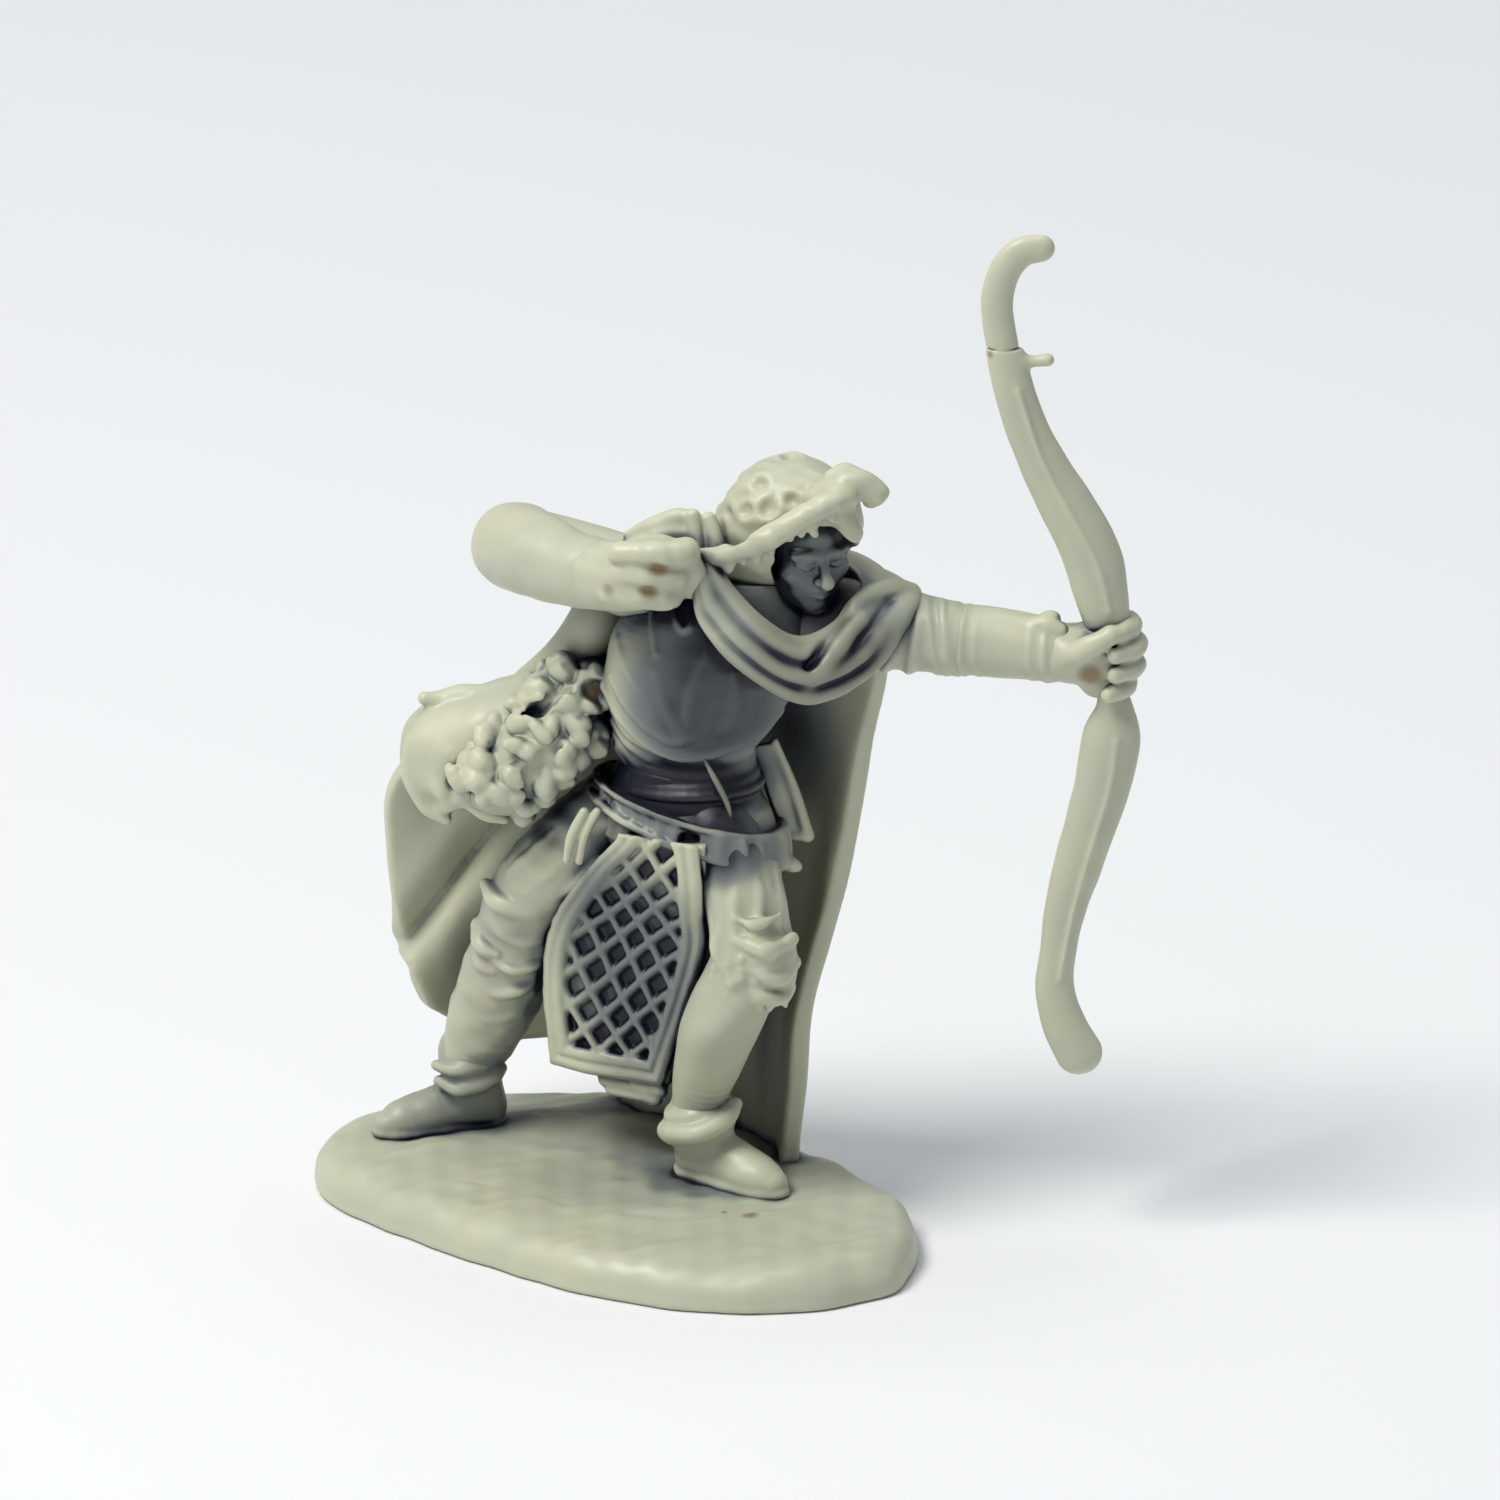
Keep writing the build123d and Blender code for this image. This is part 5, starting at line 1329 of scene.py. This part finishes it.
def plastic():
    """Unpainted pale grey-green vinyl, satin and faintly mottled, with painted shade, darker and bluer, in
    its recesses and a painted highlight on its ridges.
    """
    material = bpy.data.materials.new("cast_plastic")
    material.use_nodes = True
    nodes, links = material.node_tree.nodes, material.node_tree.links
    shader = nodes["Principled BSDF"]
    shader.inputs["IOR"].default_value = 1.46
    shader.inputs["Subsurface Weight"].default_value = 0.12
    shader.inputs["Subsurface Radius"].default_value = (0.9, 1.0, 0.7)
    shader.inputs["Subsurface Scale"].default_value = 0.0006

    def node(kind, **values):
        made = nodes.new(kind)
        for key, value in values.items():
            setattr(made, key, value)
        return made

    def mix(factor, a, b):
        made = node("ShaderNodeMix", data_type="RGBA")
        for socket, value in ((made.inputs["Factor"], factor), (made.inputs[6], a), (made.inputs[7], b)):
            if isinstance(value, (float, int, tuple)):
                socket.default_value = value
            else:
                links.new(value, socket)
        return made.outputs[2]

    def ramp(source, low, high, out_low=0.0, out_high=1.0):
        made = node("ShaderNodeMapRange", interpolation_type="SMOOTHSTEP")
        links.new(source, made.inputs["Value"])
        for name, value in (
            ("From Min", low), ("From Max", high), ("To Min", out_low), ("To Max", out_high)
        ):
            made.inputs[name].default_value = value
        return made.outputs["Result"]

    place = node("ShaderNodeTexCoord").outputs["Object"]

    def noise(scale, detail=2.0, rough=0.5):
        made = node("ShaderNodeTexNoise")
        links.new(place, made.inputs["Vector"])
        made.inputs["Scale"].default_value = scale
        made.inputs["Detail"].default_value = detail
        made.inputs["Roughness"].default_value = rough
        return made.outputs["Fac"]

    crowd = node("ShaderNodeAttribute", attribute_name="crowd").outputs["Fac"]
    painted_shade = node("ShaderNodeAttribute", attribute_name="painted_shade").outputs["Fac"]
    stain_and_shade = node("ShaderNodeAttribute", attribute_name="stain_and_shade").outputs["Fac"]
    mottled = mix(ramp(noise(260), 0.35, 0.65), (0.50, 0.505, 0.375, 1), (0.455, 0.475, 0.365, 1))
    warm = mix(ramp(noise(420, 3.0), 0.62, 0.8, 0.0, 0.35), mottled, (0.50, 0.40, 0.29, 1))
    # Painted shade: the colour goes to a bluish grey, then near black, in recesses and under overhangs.
    shaded = mix(ramp(painted_shade, 0.05, 0.55), warm, (0.165, 0.185, 0.185, 1))
    painted_deep_shade = mix(ramp(painted_shade, 0.48, 0.92), shaded, (0.008, 0.010, 0.02, 1))
    # Painted highlight: open ridges and edges are lightened.
    painted_highlight = mix(ramp(crowd, 0.42, 0.24, 0.0, 0.45), painted_deep_shade, (0.62, 0.62, 0.46, 1))
    # Brown stains, and painted brown shade in hollows and slots.
    brown = mix(stain_and_shade, painted_highlight, (0.22, 0.12, 0.05, 1))
    pits = node("ShaderNodeTexVoronoi")
    links.new(place, pits.inputs["Vector"])
    pits.inputs["Scale"].default_value = 420
    speck = ramp(pits.outputs["Distance"], 0.09, 0.03)
    sparse = ramp(noise(130, 1.0), 0.62, 0.7)
    both = node("ShaderNodeMath", operation="MULTIPLY")
    links.new(speck, both.inputs[0])
    links.new(sparse, both.inputs[1])
    colour = mix(both.outputs[0], brown, (0.16, 0.15, 0.11, 1))
    links.new(colour, shader.inputs["Base Color"])
    links.new(ramp(noise(900, 3.0), 0.3, 0.7, 0.36, 0.5), shader.inputs["Roughness"])
    bump = node("ShaderNodeBump")
    bump.inputs["Strength"].default_value = 0.25
    bump.inputs["Distance"].default_value = 0.00006
    links.new(noise(1500, 4.0, 0.6), bump.inputs["Height"])
    links.new(bump.outputs["Normal"], shader.inputs["Normal"])
    return material


PLASTIC = plastic()

# ---------------------------------------------------------------- meshes

# How far the painted shade darkens closed-in places, 1 on the other pieces
SHELTER = {"left_boot": 0.1, "right_boot": 0.3, "cloak": 0.15, "hood": 0.3}
# How far the painted shade takes the painted highlight off the ridges, 0.25 on the other pieces
DULLING = {"cowl": 0.0, "scale_tabard": 0.5}


def attribute(mesh, name, values):
    """One number for each vertex, for the material."""
    mesh.attributes.new(name, "FLOAT", "POINT").data.foreach_set("value", values.astype(np.float32))


def piece(clay):
    """Turns a finished clay into the mesh that stands for its node."""
    clay.soften()
    grid = vdb.FloatGrid(REACH)
    grid.copyFromArray(np.ascontiguousarray(clay.d))
    points, quads = grid.convertToQuads(isovalue=0.0)
    points = np.asarray(points, float) * clay.step + clay.low + clay.shift
    quads = np.asarray(quads)
    mesh = bpy.data.meshes.new(clay.node + "_cast")
    mesh.vertices.add(len(points))
    mesh.vertices.foreach_set("co", (points * MM).astype(np.float32).ravel())
    mesh.loops.add(quads.size)
    mesh.loops.foreach_set("vertex_index", quads.astype(np.int32).ravel())
    mesh.polygons.add(len(quads))
    mesh.polygons.foreach_set("loop_start", np.arange(0, quads.size, 4, dtype=np.int32))
    mesh.update(calc_edges=True)
    mesh.validate()
    mesh.polygons.foreach_set("use_smooth", np.ones(len(mesh.polygons), bool))
    normals = np.empty(len(mesh.vertices) * 3, np.float32)
    mesh.vertices.foreach_get("normal", normals)
    normals = normals.reshape(-1, 3)
    outward = points + normals * 0.12
    crowd = sample(CROWD, outward)
    clear = openness(points, normals)
    # Painted shade where other clay closes a place in.
    painted_occlusion = np.clip((0.8 - clear) / 0.8, 0, 1) * SHELTER.get(clay.node, 1.0)
    shade = painted_gloom(clay.node, points - clay.shift) * (0.85 + 0.15 * smooth(crowd, 0.30, 0.52))
    if clay.node == "cloak":  # only its inner face is in the shade
        shade = shade * smooth(-normals[:, 1], -0.3, 0.3)
    painted_shade = shade + painted_occlusion
    # Painted shade in the tabard's scale hollows and in creases on the other pieces.
    if clay.node == "scale_tabard":
        painted_shade = painted_shade + 0.85 * smooth(crowd, 0.42, 0.56)
    else:
        painted_shade = painted_shade + 0.45 * smooth(crowd, 0.50, 0.72)
    painted_shade = np.clip(painted_shade, 0, 1)
    attribute(mesh, "painted_shade", painted_shade)
    # Its crowd value sets the painted highlight on ridges, lowered by the painted shade.
    attribute(mesh, "crowd", crowd + DULLING.get(clay.node, 0.25) * painted_shade)
    stain_and_shade = np.zeros(len(points))
    for place, radius in clay.stains_and_shade:
        far = np.linalg.norm(points - clay.shift - place, axis=1)
        stain_and_shade = np.maximum(stain_and_shade, 0.8 * (1 - smooth(far, 0.3 * radius, radius)))
    attribute(mesh, "stain_and_shade", stain_and_shade)
    made = bpy.data.objects.new(clay.node + "_cast", mesh)
    bpy.context.scene.collection.objects.link(made)
    mesh.materials.append(PLASTIC)
    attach(made, "root")
    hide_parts(clay.node)


for clay in Clay.made:
    piece(clay)

# ---------------------------------------------------------------- stage, light and camera

scene = bpy.context.scene
floor_mesh = bpy.data.meshes.new("floor")
floor_mesh.from_pydata([(-3, -3, 0), (3, -3, 0), (3, 3, 0), (-3, 3, 0)], [], [(0, 1, 2, 3)])
floor = bpy.data.objects.new("floor", floor_mesh)
scene.collection.objects.link(floor)
paper = bpy.data.materials.new("paper")
paper.use_nodes = True
paper.node_tree.nodes["Principled BSDF"].inputs["Base Color"].default_value = (0.80, 0.815, 0.83, 1)
paper.node_tree.nodes["Principled BSDF"].inputs["Roughness"].default_value = 0.9
floor_mesh.materials.append(paper)
floor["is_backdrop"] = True

world = bpy.data.worlds.new("studio")
scene.world = world
world.use_nodes = True
world.node_tree.nodes["Background"].inputs["Color"].default_value = (0.86, 0.92, 1.0, 1)
world.node_tree.nodes["Background"].inputs["Strength"].default_value = 0.30


def lamp(name, place, aim, size, power, colour):
    data = bpy.data.lights.new(name, "AREA")
    data.shape = "DISK"
    data.size = size
    data.energy = power
    data.color = colour
    made = bpy.data.objects.new(name, data)
    scene.collection.objects.link(made)
    made.location = place
    made.rotation_mode = "QUATERNION"
    made.rotation_quaternion = (Vector(aim) - Vector(place)).to_track_quat("-Z", "Y")


MIDDLE = Vector([(low + high) / 2 for low, high in zip(CAD_LOW, CAD_HIGH)])
lamp("key", MIDDLE + Vector((-0.26, -0.16, 0.46)), MIDDLE, 0.26, 2.65, (1.0, 0.985, 0.945))
lamp("top", MIDDLE + Vector((0.04, 0.12, 0.55)), MIDDLE, 0.40, 0.9, (1.0, 1.0, 0.98))

DISTANCE = 1.2
SENSOR_WIDTH = 36  # mm
PICTURE_WIDTH = 0.06198  # metres across the picture where the figure stands
ELEVATION = math.radians(20)
AIM = MIDDLE + Vector((0.00082, 0.00085, -0.00159))
camera_data = bpy.data.cameras.new("camera")
camera_data.sensor_width = SENSOR_WIDTH
camera_data.lens = SENSOR_WIDTH * DISTANCE / PICTURE_WIDTH
camera_data.clip_start = 0.01
camera_data.clip_end = 10
camera = bpy.data.objects.new("camera", camera_data)
scene.collection.objects.link(camera)
scene.camera = camera
back = Vector((0, -math.cos(ELEVATION), math.sin(ELEVATION)))
camera.location = AIM + back * DISTANCE
camera.rotation_mode = "QUATERNION"
camera.rotation_quaternion = (-back).to_track_quat("-Z", "Y")
scene.view_settings.view_transform = "Standard"

low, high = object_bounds()
